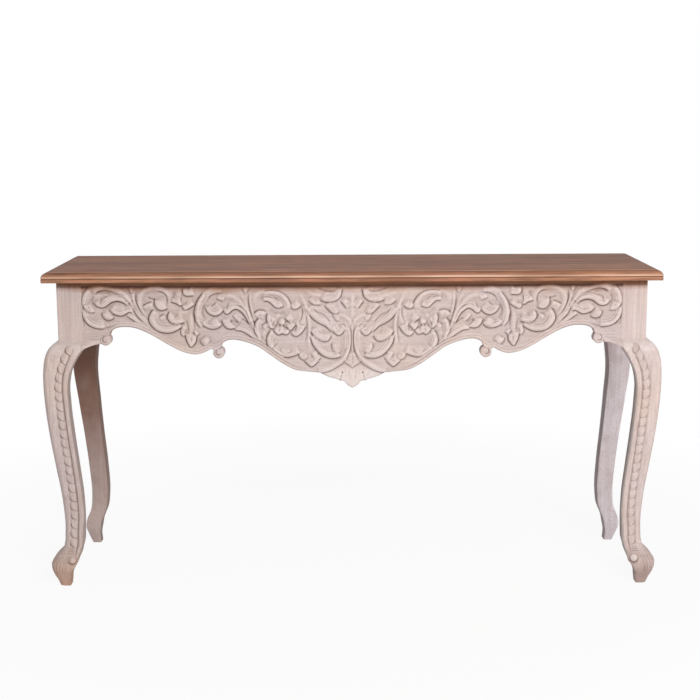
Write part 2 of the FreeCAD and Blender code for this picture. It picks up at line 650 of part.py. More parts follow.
def front_leg():
    """Right-hand front leg: mortised post, cabriole shaped alike to the front and to the side, scroll foot."""
    sections = []
    for z, swell, width in leg_stations():
        outer = min(LEG_OUTER_ROUND, 0.4 * width)
        edge = min(LEG_EDGE_ROUND, 0.2 * width)
        x_out = POST_OUT_X + swell
        y_out = POST_FRONT_Y - swell - foot_lean(z)
        sections.append(rounded_section(x_out, x_out - width, y_out, y_out + width, z, outer, edge))
    shank = Part.makeLoft(sections, True, False)
    post = block(POST_IN_X, POST_OUT_X, POST_FRONT_Y, POST_FRONT_IN_Y, KNEE_TOP, TOP_UNDER)
    heel = block(POST_IN_X, POST_OUT_X - LEG_OUTER_ROUND, POST_FRONT_Y + LEG_OUTER_ROUND, POST_FRONT_IN_Y,
                 KNEE_TOP - KNEE_BLOCK_HEIGHT, KNEE_TOP)
    leg = shank.fuse([post, heel, scroll_roll()]).removeSplitter()
    return leg.cut([long_tenon(FRONT_TENON_Y, JOINT_GAP), side_tenons(JOINT_GAP)[0]])


def back_leg_stations():
    """Height, swell, width and depth down a back leg, which is shaped along the table's length only."""
    shoulder = KNEE_TOP - KNEE_BLOCK_HEIGHT
    shank = shoulder - FOOT_HEIGHT
    deep = BACK_POST_DEPTH
    thin = BACK_ANKLE_DEPTH
    return ((KNEE_TOP, 0.0, POST_WIDTH, deep),
            (KNEE_TOP - 0.7 * KNEE_BLOCK_HEIGHT, 0.6 * BACK_KNEE_SWELL, POST_WIDTH + 0.6 * BACK_KNEE_SWELL, deep),
            (shoulder - 0.05 * shank, 0.95 * BACK_KNEE_SWELL, BACK_KNEE_WIDTH + 10.0, deep),
            (shoulder - 0.16 * shank, BACK_KNEE_SWELL + 1.0, BACK_KNEE_WIDTH + 2.0, deep),
            (shoulder - 0.4 * shank, 0.5 * (BACK_KNEE_SWELL + BACK_SHIN_SWELL),
             0.5 * (BACK_KNEE_WIDTH + BACK_SHIN_WIDTH) - 1.0, 0.5 * (deep + thin)),
            (shoulder - 0.58 * shank, BACK_SHIN_SWELL, BACK_SHIN_WIDTH, thin),
            (shoulder - 0.78 * shank, 0.3 * BACK_SHIN_SWELL + 0.7 * BACK_ANKLE_SWELL,
             0.5 * (BACK_SHIN_WIDTH + BACK_ANKLE_WIDTH), thin),
            (1.25 * FOOT_HEIGHT, BACK_ANKLE_SWELL, BACK_ANKLE_WIDTH, thin),
            (0.9 * FOOT_HEIGHT, 0.4 * BACK_ANKLE_SWELL, BACK_ANKLE_WIDTH - 1.0, thin),
            (0.58 * FOOT_HEIGHT, 0.88 * BACK_TOE_SWELL, BACK_TOE_WIDTH + 2.0, thin),
            (0.42 * FOOT_HEIGHT, BACK_TOE_SWELL, BACK_TOE_WIDTH, thin),
            (0.25 * FOOT_HEIGHT, 0.6 * BACK_TOE_SWELL, 0.5 * (BACK_TOE_WIDTH + BACK_PAD_WIDTH),
             0.5 * (thin + BACK_PAD_DEPTH)),
            (0.0, BACK_PAD_SWELL, BACK_PAD_WIDTH, BACK_PAD_DEPTH))


def back_leg():
    """Right-hand back leg, sawn to one outline seen from the front and to another seen from the side."""
    stations = back_leg_stations()
    knee = stations[0][0]
    heel = vec(POST_IN_X, 0, KNEE_TOP - KNEE_BLOCK_HEIGHT)
    outer = [vec(POST_OUT_X + swell, 0, z) for z, swell, width, depth in stations]
    inner = [vec(POST_OUT_X + swell - width, 0, z) for z, swell, width, depth in stations if z < heel.z]
    square = [heel, vec(POST_IN_X, 0, TOP_UNDER), vec(POST_OUT_X, 0, TOP_UNDER), outer[0]]
    edges = [line_between(a, b) for a, b in zip(square, square[1:])]
    edges += [curve_through(outer), line_between(outer[-1], inner[-1]), curve_through([heel] + inner)]
    seen_from_front = prism(edges, vec(0, BACK_POST_DEPTH, 0))
    seen_from_front.translate(vec(0, POST_BACK_IN_Y, 0))
    wall = [vec(POST_IN_X, POST_BACK_Y - max(0.0, (BACK_ANKLE_DEPTH - depth) / 2), z)
            for z, swell, width, depth in stations]
    room = [point - vec(0, station[3], 0) for point, station in zip(wall, stations)]
    square = [vec(POST_IN_X, POST_BACK_IN_Y, knee), vec(POST_IN_X, POST_BACK_IN_Y, TOP_UNDER),
              vec(POST_IN_X, POST_BACK_Y, TOP_UNDER), vec(POST_IN_X, POST_BACK_Y, knee)]
    corners = square + wall[1:] + room[:0:-1] + square[:1]
    seen_from_side = polygon_prism(corners[:-1], vec(4 * POST_WIDTH, 0, 0))
    seen_from_side.translate(vec(-2 * POST_WIDTH, 0, 0))
    leg = seen_from_front.common(seen_from_side)
    return leg.cut([long_tenon(BACK_TENON_Y, JOINT_GAP), side_tenons(JOINT_GAP)[1]])


# Every piece goes to its own file


def main():
    os.makedirs("parts", exist_ok=True)
    for name, board in top_boards():
        export(name, board)
    export("top_dowels", Part.makeCompound([dowel(centre, 0.0) for centre in dowel_centres()]))
    export("front_apron", front_apron())
    export("back_apron", back_apron())
    handed = [("%s_side_apron", side_apron()), ("front_%s_leg", front_leg()), ("back_%s_leg", back_leg())]
    handed.extend(right_knee_blocks())
    for pattern, shape in handed:
        export(pattern % "right", shape)
        export(pattern % "left", mirrored_x(shape))
    for name, side, apron_y, post_y, inward in corner_places():
        export(name, corner_block(side, apron_y, post_y, inward))
    for name, x in bearer_places():
        export(name, cross_bearer(x))
    button = table_button()
    for name, place, turn in button_places():
        export(name, turned(button, turn, place))
    up = vec(0, 0, 1)
    button_screw = wood_screw(BUTTON_SCREW_LENGTH)
    bearer_screw = wood_screw(BEARER_SCREW_LENGTH)
    block_screw = wood_screw(BLOCK_SCREW_LENGTH)
    export("button_screws", Part.makeCompound([aimed(button_screw, up, s) for s in button_screw_seats()]))
    export("bearer_screws", Part.makeCompound([aimed(bearer_screw, up, s) for s in bearer_screw_seats()]))
    export("corner_block_screws",
           Part.makeCompound([aimed(block_screw, d, s) for s, d in all_corner_screws()]))


main()
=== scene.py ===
# Pier table: carved, whitewashed legs and apron under a brown moulded top
import math

import bmesh
import bpy
import numpy as np
from mathutils import Matrix, Vector


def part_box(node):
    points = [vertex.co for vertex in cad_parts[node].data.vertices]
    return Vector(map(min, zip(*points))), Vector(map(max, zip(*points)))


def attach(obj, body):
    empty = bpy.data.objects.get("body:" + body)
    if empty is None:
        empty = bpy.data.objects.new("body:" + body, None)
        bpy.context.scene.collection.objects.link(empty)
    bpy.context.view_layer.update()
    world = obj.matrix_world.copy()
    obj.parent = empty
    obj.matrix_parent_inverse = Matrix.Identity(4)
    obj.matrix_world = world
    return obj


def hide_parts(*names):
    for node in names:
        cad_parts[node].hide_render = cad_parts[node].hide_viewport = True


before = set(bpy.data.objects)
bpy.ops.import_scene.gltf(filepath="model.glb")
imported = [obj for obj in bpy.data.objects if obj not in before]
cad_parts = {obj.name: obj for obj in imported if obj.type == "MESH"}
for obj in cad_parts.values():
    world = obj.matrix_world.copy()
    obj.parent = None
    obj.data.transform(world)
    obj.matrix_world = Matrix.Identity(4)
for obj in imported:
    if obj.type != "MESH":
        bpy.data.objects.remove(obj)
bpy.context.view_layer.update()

MM = 0.001


# Places taken from the frame, in millimetres

def node_box(node):
    """Lowest and highest corner of a CAD node, in millimetres."""
    low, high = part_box(node)
    return [value / MM for value in low], [value / MM for value in high]


top_low, top_high = node_box("top_board_front")
TOP_HALF = top_high[0]
TOP_FRONT = top_low[1]
TOP_UNDER = top_low[2]
TOP_FACE = top_high[2]
SEAM_FRONT = top_high[1]
SEAM_BACK = node_box("top_board_back")[0][1]
TOP_BACK = node_box("top_board_back")[1][1]

block_low, block_high = node_box("front_right_knee_block")
POST_IN = block_high[0]
APRON_FACE = block_low[1]
APRON_BACK = block_high[1]
KNEE_TOP = block_high[2]
POST_WIDTH = 60.0
POST_OUT = POST_IN + POST_WIDTH
# The posts stand a little proud of the apron
POST_PROUD = 1.0
POST_FRONT = APRON_FACE - POST_PROUD
SIDE_FACE = node_box("right_side_apron")[1][0]
# Heights between which the brown stain of the top, with painted shade under it, fades out on the frame
STAIN_SHADE_LOW = TOP_UNDER - 32.0
STAIN_SHADE_HIGH = TOP_UNDER - 13.5
# How far the fade moves up for each millimetre that a spot stands proud
STAIN_SHADE_SHIFT = 2.5


# Small tools for shapes

def ease(t):
    """Smooth step from 0 to 1."""
    t = np.clip(t, 0.0, 1.0)
    return t * t * (3.0 - 2.0 * t)


def begins(value, start, run):
    """0 up to a start, then a smooth step to 1 over a run."""
    return ease((value - start) / run)


def ends(value, end, run):
    """1 until a run before an end, then a smooth step to 0."""
    return ease((end - value) / run)


def bell(place_at, middle, width):
    """Bell curve of height 1 round a middle."""
    return np.exp(-((place_at - middle) / width) ** 2)


def half_round(place_at, middle, half):
    """Round bead of height 1 round a middle."""
    return np.sqrt(np.clip(1 - ((place_at - middle) / half) ** 2, 0, 1))


def turned_edge(depth, radius):
    """How far a face falls back at a rounded edge, by distance from the edge."""
    return radius * (1 - half_round(np.clip(depth / radius, 0, 1), 1, 1))


def smooth_line(points, pieces=8):
    """A line through the points, rounded between them."""
    p = np.array(points, float)
    before = np.vstack([2 * p[0] - p[1], p[:-1]])
    after = np.vstack([p[1:], 2 * p[-1] - p[-2]])
    slope = (after - before) / 2
    t = np.linspace(0, 1, pieces, endpoint=False)[:, None]
    rows = []
    for k in range(len(p) - 1):
        rows.append((2 * t**3 - 3 * t**2 + 1) * p[k] + (t**3 - 2 * t**2 + t) * slope[k]
                    + (3 * t**2 - 2 * t**3) * p[k + 1] + (t**3 - t**2) * slope[k + 1])
    return np.vstack(rows + [p[-1:]])


def between(keys, values, at):
    """Smooth values at the given places, through values at rising keys."""
    keys = np.array(keys, float)
    values = np.array(values, float)
    slope = np.gradient(values, keys)
    at = np.clip(at, keys[0], keys[-1])
    k = np.clip(np.searchsorted(keys, at) - 1, 0, len(keys) - 2)
    run = keys[k + 1] - keys[k]
    t = (at - keys[k]) / run
    return ((2 * t**3 - 3 * t**2 + 1) * values[k] + (t**3 - 2 * t**2 + t) * run * slope[k]
            + (3 * t**2 - 2 * t**3) * values[k + 1] + (t**3 - t**2) * run * slope[k + 1])


def station(stations, column, height):
    """Smooth value at a height, from one column of a list of stations."""
    return between([s[0] for s in stations], [s[column] for s in stations], height)


def capped_rings(levels, around, first=0):
    """Quads between neighbouring rings of points, and a face over each end."""
    faces = []
    for level in range(levels - 1):
        for i in range(around):
            a = first + level * around + i
            b = first + level * around + (i + 1) % around
            faces.append((a, b, b + around, a + around))
    last = first + (levels - 1) * around
    return faces + [tuple(range(first, first + around)), tuple(range(last, last + around))]


def mark_points(mesh, label, values, kind="FLOAT"):
    """Store a value for each point of a mesh under a label."""
    mark = mesh.attributes.new(label, kind, "POINT")
    field = "value" if kind == "FLOAT" else "vector"
    mark.data.foreach_set(field, np.asarray(values, np.float32).ravel())


def close_shell(mesh, nearest):
    """Join points that lie together, and turn the faces outwards."""
    shell = bmesh.new()
    shell.from_mesh(mesh)
    bmesh.ops.remove_doubles(shell, verts=shell.verts, dist=nearest)
    bmesh.ops.recalc_face_normals(shell, faces=shell.faces)
    shell.to_mesh(mesh)
    shell.free()


def new_piece(name, points, faces, material, slot, replaced=(), sharp=60.0, **marks):
    """A mesh piece from points in millimetres, closed and turned outwards, with marks for its material."""
    mesh = bpy.data.meshes.new(name)
    mesh.from_pydata((np.asarray(points, float) * MM).tolist(), [], faces)
    for label, values in marks.items():
        mark_points(mesh, label, values)
    close_shell(mesh, 0.00001)
    return place(name, mesh, material, replaced, sharp)


def place(name, mesh, material, replaced=(), sharp=60.0):
    """Put a finished mesh in the scene with its material and the nodes it stands for."""
    mesh.polygons.foreach_set("use_smooth", [True] * len(mesh.polygons))
    mesh.set_sharp_from_angle(angle=math.radians(sharp))
    mesh.materials.clear()
    mesh.materials.append(material)
    piece = bpy.data.objects.new(name, mesh)
    bpy.context.scene.collection.objects.link(piece)
    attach(piece, "root")
    if replaced:
        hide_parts(*replaced)
    return piece


# Materials

def linear(colour):
    """Linear colour from an sRGB hex value."""
    parts = [int(colour[i:i + 2], 16) / 255 for i in (1, 3, 5)]
    return tuple(c / 12.92 if c <= 0.04045 else ((c + 0.055) / 1.055) ** 2.4 for c in parts) + (1.0,)


def add(tree, kind, inputs=None, **settings):
    """Add a node with its settings, and set or link its inputs."""
    made = tree.nodes.new(kind)
    for name, value in settings.items():
        setattr(made, name, value)
    for key, value in (inputs or {}).items():
        if isinstance(value, bpy.types.NodeSocket):
            tree.links.new(value, made.inputs[key])
        else:
            made.inputs[key].default_value = value
    return made


def new_material(name):
    """A material with an empty node tree."""
    material = bpy.data.materials.new(name)
    material.use_nodes = True
    material.node_tree.nodes.clear()
    return material, material.node_tree


def even_scale(size):
    """Scale that makes one unit of a pattern as large as a size in millimetres."""
    return 1 / (size * MM)


def grain_scale(along, width, length):
    """Scale that makes one unit of a pattern as wide and, along one axis, as long as the grain."""
    scale = [even_scale(width)] * 3
    scale[along] = even_scale(length)
    return scale


def coated(tree, ground, coats):
    """Colour of a ground under thin coats, laid one over another.

    Each coat has the value that says where it lies, the values at which it begins and is full, the most of
    it that lies there, and its colour.
    """
    colour = linear(ground)
    for place_at, start, full, most, coat in coats:
        share = add(tree, "ShaderNodeMapRange", {"Value": place_at, "From Min": start, "From Max": full,
                                                 "To Max": most})
        coat = linear(coat) if isinstance(coat, str) else coat
        colour = add(tree, "ShaderNodeMix", {0: share.outputs[0], 6: colour, 7: coat},
                     data_type="RGBA").outputs[2]
    return colour


def whitewashed_wood(name, along, streaks, bare=None, scuffed=None, wash=("#DACAC8", "#DCC9C0")):
    """Brown-stained hardwood brushed with thin white wash and rubbed back.

    The wash lies chalky and pinkish on the flats in faint brush lines along the grain, with painted
    highlights and thicker wash where marked pale, and brown stain with painted shade where marked. Under the
    top its brown stain has run over the wash, with painted shade, least on what stands proud. Bare is painted
    shade: how much of a dark brown with little wash lies at two heights in metres, where a face is marked
    bare, and scuffed is how much is worn off near the floor, with the colour under it.
    """
    material, tree = new_material(name)
    where = add(tree, "ShaderNodeTexCoord").outputs["Object"]
    wide = add(tree, "ShaderNodeMapping", {"Vector": where, "Scale": grain_scale(along, 7.0, 170.0)})
    fine = add(tree, "ShaderNodeMapping", {"Vector": where, "Scale": grain_scale(along, 3.5, 140.0)})
    brush = add(tree, "ShaderNodeTexNoise", {"Vector": wide.outputs[0], "Scale": 1.0, "Detail": 3.0})
    lines = add(tree, "ShaderNodeTexNoise", {"Vector": fine.outputs[0], "Scale": 1.0, "Detail": 2.0})
    patch = add(tree, "ShaderNodeTexNoise", {"Vector": where, "Scale": even_scale(60.0), "Detail": 3.0})
    tint = add(tree, "ShaderNodeTexNoise", {"Vector": where, "Scale": even_scale(140.0), "Detail": 2.0})
    streak = add(tree, "ShaderNodeMath", {0: brush.outputs["Fac"], 1: lines.outputs["Fac"]}, operation="ADD")
    # Pores that kept their stain, drawn about four times coarser than real ones so that they show
    pores = add(tree, "ShaderNodeTexNoise", {"Vector": where, "Scale": even_scale(3.2), "Detail": 1.0})
    crest = add(tree, "ShaderNodeAttribute", attribute_name="pale")
    darkening = add(tree, "ShaderNodeAttribute", attribute_name="crevice")
    # Height that the stain and painted shade under the top see: uneven, and lower where a place stands proud
    height = add(tree, "ShaderNodeSeparateXYZ", {0: where})
    uneven = add(tree, "ShaderNodeMath", {0: patch.outputs["Fac"], 1: 0.5}, operation="SUBTRACT")
    wavy = add(tree, "ShaderNodeMath", {0: uneven.outputs[0], 1: 0.02, 2: height.outputs["Z"]},
               operation="MULTIPLY_ADD")
    proud = add(tree, "ShaderNodeAttribute", attribute_name="proud")
    reach = add(tree, "ShaderNodeMath", {0: proud.outputs["Fac"], 1: -STAIN_SHADE_SHIFT * MM, 2: wavy.outputs[0]},
                operation="MULTIPLY_ADD")
    brown = coated(tree, "#BA8561", [(lines.outputs["Fac"], 0.0, 1.0, 1.0, "#8A6047")])
    coats = [(tint.outputs["Fac"], 0.35, 0.65, 1.0, wash[1]),
             (streak.outputs[0], 0.75, 1.25, streaks, "#A98D84"),
             (patch.outputs["Fac"], 0.52, 0.75, 0.25, "#B59C92"),
             (pores.outputs["Fac"], 0.5, 0.8, 0.4, "#A38A80"),
             # Painted highlights on crests, knees and the right leg's inner face, and thicker wash, where
             # marked pale
             (crest.outputs["Fac"], 0.0, 1.0, 1.0, "#F4E9E6"),
             # Brown stain of the top over the wash, with painted shade under the top
             (reach.outputs[0], STAIN_SHADE_LOW * MM, STAIN_SHADE_HIGH * MM, 1.0, brown),
             # Brown stain with painted shade: in hollows, under edges and on faces turned from the light
             (darkening.outputs["Fac"], 0.0, 1.0, 1.0, "#55362A")]
    # Painted shade: a dark brown with little wash, more of it higher up and on faces marked bare
    if bare:
        face = add(tree, "ShaderNodeAttribute", attribute_name="bare")
        high = add(tree, "ShaderNodeMapRange", {"Value": height.outputs["Z"], "From Min": bare[0][0],
                                                "From Max": bare[1][0], "To Min": bare[0][1],
                                                "To Max": bare[1][1]})
        left = add(tree, "ShaderNodeMath", {0: uneven.outputs[0], 1: 0.4, 2: high.outputs[0]},
                   operation="MULTIPLY_ADD", use_clamp=True)
        share = add(tree, "ShaderNodeMath", {0: left.outputs[0], 1: face.outputs["Fac"]},
                    operation="MULTIPLY")
        coats.append((share.outputs[0], 0.0, 1.0, 1.0, "#79584A"))
    if scuffed:
        low = add(tree, "ShaderNodeMapRange", {"Value": height.outputs["Z"], "From Min": 0.03,
                                               "From Max": 0.09, "To Min": scuffed[0], "To Max": 0.0})
        gone = add(tree, "ShaderNodeMath", {0: uneven.outputs[0], 1: low.outputs[0], 2: low.outputs[0]},
                   operation="MULTIPLY_ADD", use_clamp=True)
        coats.append((gone.outputs[0], 0.0, 1.0, 1.0, scuffed[1]))
    rough = add(tree, "ShaderNodeMapRange", {"Value": streak.outputs[0], "From Min": 0.7, "From Max": 1.3,
                                             "To Min": 0.6, "To Max": 0.75})
    bump = add(tree, "ShaderNodeBump", {"Height": streak.outputs[0], "Strength": 0.15, "Distance": 0.0005})
    wood = add(tree, "ShaderNodeBsdfPrincipled", {"Base Color": coated(tree, wash[0], coats),
                                                  "Roughness": rough.outputs[0], "Normal": bump.outputs[0],
                                                  "IOR": 1.5, "Specular IOR Level": 0.3})
    add(tree, "ShaderNodeOutputMaterial", {"Surface": wood.outputs[0]})
    return material


def brown_stained_wood(name):
    """Planed hardwood, stained brown and waxed to a satin.

    Grain runs along the table in dark, golden and reddish streaks, drawn broad so that they still show on the
    top from a low angle. Edges marked pale are worn paler and carry a painted highlight, and marked places
    get stain with painted shade.
    """
    material, tree = new_material(name)
    where = add(tree, "ShaderNodeTexCoord").outputs["Object"]
    wide = add(tree, "ShaderNodeMapping", {"Vector": where, "Scale": grain_scale(0, 34.0, 420.0)})
    fine = add(tree, "ShaderNodeMapping", {"Vector": where, "Scale": grain_scale(0, 5.0, 75.0)})
    broad = add(tree, "ShaderNodeMapping", {"Vector": where, "Scale": grain_scale(0, 70.0, 180.0)})
    bands = add(tree, "ShaderNodeTexNoise", {"Vector": wide.outputs[0], "Scale": 1.0, "Detail": 4.0})
    pores = add(tree, "ShaderNodeTexNoise", {"Vector": fine.outputs[0], "Scale": 1.0, "Detail": 3.0})
    glow = add(tree, "ShaderNodeTexNoise", {"Vector": broad.outputs[0], "Scale": 1.0, "Detail": 2.0})
    darkening = add(tree, "ShaderNodeAttribute", attribute_name="crevice")
    pale_mark = add(tree, "ShaderNodeAttribute", attribute_name="pale")
    # Painted highlight along the edges, stronger in some stretches than in others
    edge_shading = add(tree, "ShaderNodeMapRange", {"Value": glow.outputs["Fac"], "From Min": 0.35,
                                               "From Max": 0.65, "To Min": 0.6, "To Max": 1.3})
    wear_and_highlight = add(tree, "ShaderNodeMath", {0: pale_mark.outputs["Fac"], 1: edge_shading.outputs[0]}, operation="MULTIPLY",
               use_clamp=True)
    coats = [(bands.outputs["Fac"], 0.32, 0.68, 1.0, "#B88060"),
             (glow.outputs["Fac"], 0.48, 0.68, 0.5, "#B0664A"),
             (pores.outputs["Fac"], 0.45, 0.7, 0.75, "#5E3A2A"),
             # Stain with painted shade, where marked
             (darkening.outputs["Fac"], 0.0, 1.0, 1.0, "#3A2218"),
             # Wear with a painted highlight, where marked pale
             (wear_and_highlight.outputs[0], 0.0, 1.0, 1.0, "#DFB8A0")]
    bump = add(tree, "ShaderNodeBump", {"Height": pores.outputs["Fac"], "Strength": 0.15, "Distance": 0.0004})
    wood = add(tree, "ShaderNodeBsdfPrincipled", {"Base Color": coated(tree, "#8A5944", coats),
                                                  "Roughness": 0.4, "Normal": bump.outputs[0],
                                                  "IOR": 1.5, "Specular IOR Level": 0.02})
    add(tree, "ShaderNodeOutputMaterial", {"Surface": wood.outputs[0]})
    return material


def bare_hardwood(name, along):
    """Sawn and planed hardwood left bare inside the frame: dull tan with brown grain streaks."""
    material, tree = new_material(name)
    where = add(tree, "ShaderNodeTexCoord").outputs["Object"]
    grain = add(tree, "ShaderNodeMapping", {"Vector": where, "Scale": grain_scale(along, 6.0, 130.0)})
    streaks = add(tree, "ShaderNodeTexNoise", {"Vector": grain.outputs[0], "Scale": 1.0, "Detail": 4.0})
    colour = coated(tree, "#B08D6A", [(streaks.outputs["Fac"], 0.35, 0.7, 1.0, "#8C6A4C")])
    bump = add(tree, "ShaderNodeBump", {"Height": streaks.outputs["Fac"], "Strength": 0.2,
                                        "Distance": 0.0005})
    wood = add(tree, "ShaderNodeBsdfPrincipled", {"Base Color": colour, "Roughness": 0.7,
                                                  "Normal": bump.outputs[0], "IOR": 1.5})
    add(tree, "ShaderNodeOutputMaterial", {"Surface": wood.outputs[0]})
    return material


def zinc_plated_steel(name):
    """Turned steel screws with a thin zinc plate: grey, with a dull patchy shine."""
    material, tree = new_material(name)
    where = add(tree, "ShaderNodeTexCoord").outputs["Object"]
    cloud = add(tree, "ShaderNodeTexNoise", {"Vector": where, "Scale": even_scale(2.5), "Detail": 2.0})
    rough = add(tree, "ShaderNodeMapRange", {"Value": cloud.outputs["Fac"], "To Min": 0.25, "To Max": 0.5})
    colour = coated(tree, "#B9BCBD", [(cloud.outputs["Fac"], 0.0, 1.0, 1.0, "#8F9294")])
    steel = add(tree, "ShaderNodeBsdfPrincipled", {"Base Color": colour, "Metallic": 1.0,
                                                   "Roughness": rough.outputs[0]})
    add(tree, "ShaderNodeOutputMaterial", {"Surface": steel.outputs[0]})
    return material


ALONG_X, ALONG_Y, ALONG_Z = 0, 1, 2
washed_apron = whitewashed_wood("whitewashed hardwood, grain along the apron", ALONG_X, 0.24)
washed_side = whitewashed_wood("whitewashed hardwood, grain along the sides", ALONG_Y, 0.3)
washed_left_leg = whitewashed_wood("whitewashed hardwood, brown at the foot", ALONG_Z, 0.4,
                                   scuffed=(0.6, "#B88660"))
washed_right_leg = whitewashed_wood("whitewashed hardwood, grey at the foot", ALONG_Z, 0.4,
                                    scuffed=(0.65, "#957870"))
# Back legs: painted shade high up where the apron's shadow falls, and on the right a lighter wash as painted
# light
shaded_left_back_leg = whitewashed_wood("whitewashed hardwood with painted shade high up", ALONG_Z, 0.25,
                                 bare=((0.1, 0.3), (0.42, 1.0)))
lit_right_back_leg = whitewashed_wood("hardwood with a cooler, thicker wash", ALONG_Z, 0.22,
                                  bare=((0.42, 0.0), (0.62, 0.4)), wash=("#E9DFE4", "#E7DBDD"))
brown_top = brown_stained_wood("brown stained and waxed hardwood")
bare_long = bare_hardwood("bare hardwood, grain along the table", ALONG_X)
bare_cross = bare_hardwood("bare hardwood, grain across the table", ALONG_Y)
bare_upright = bare_hardwood("bare hardwood, grain upright", ALONG_Z)
zinc = zinc_plated_steel("zinc plated steel")


# Carving of the apron: places are on the left half, in millimetres from the middle and above the floor

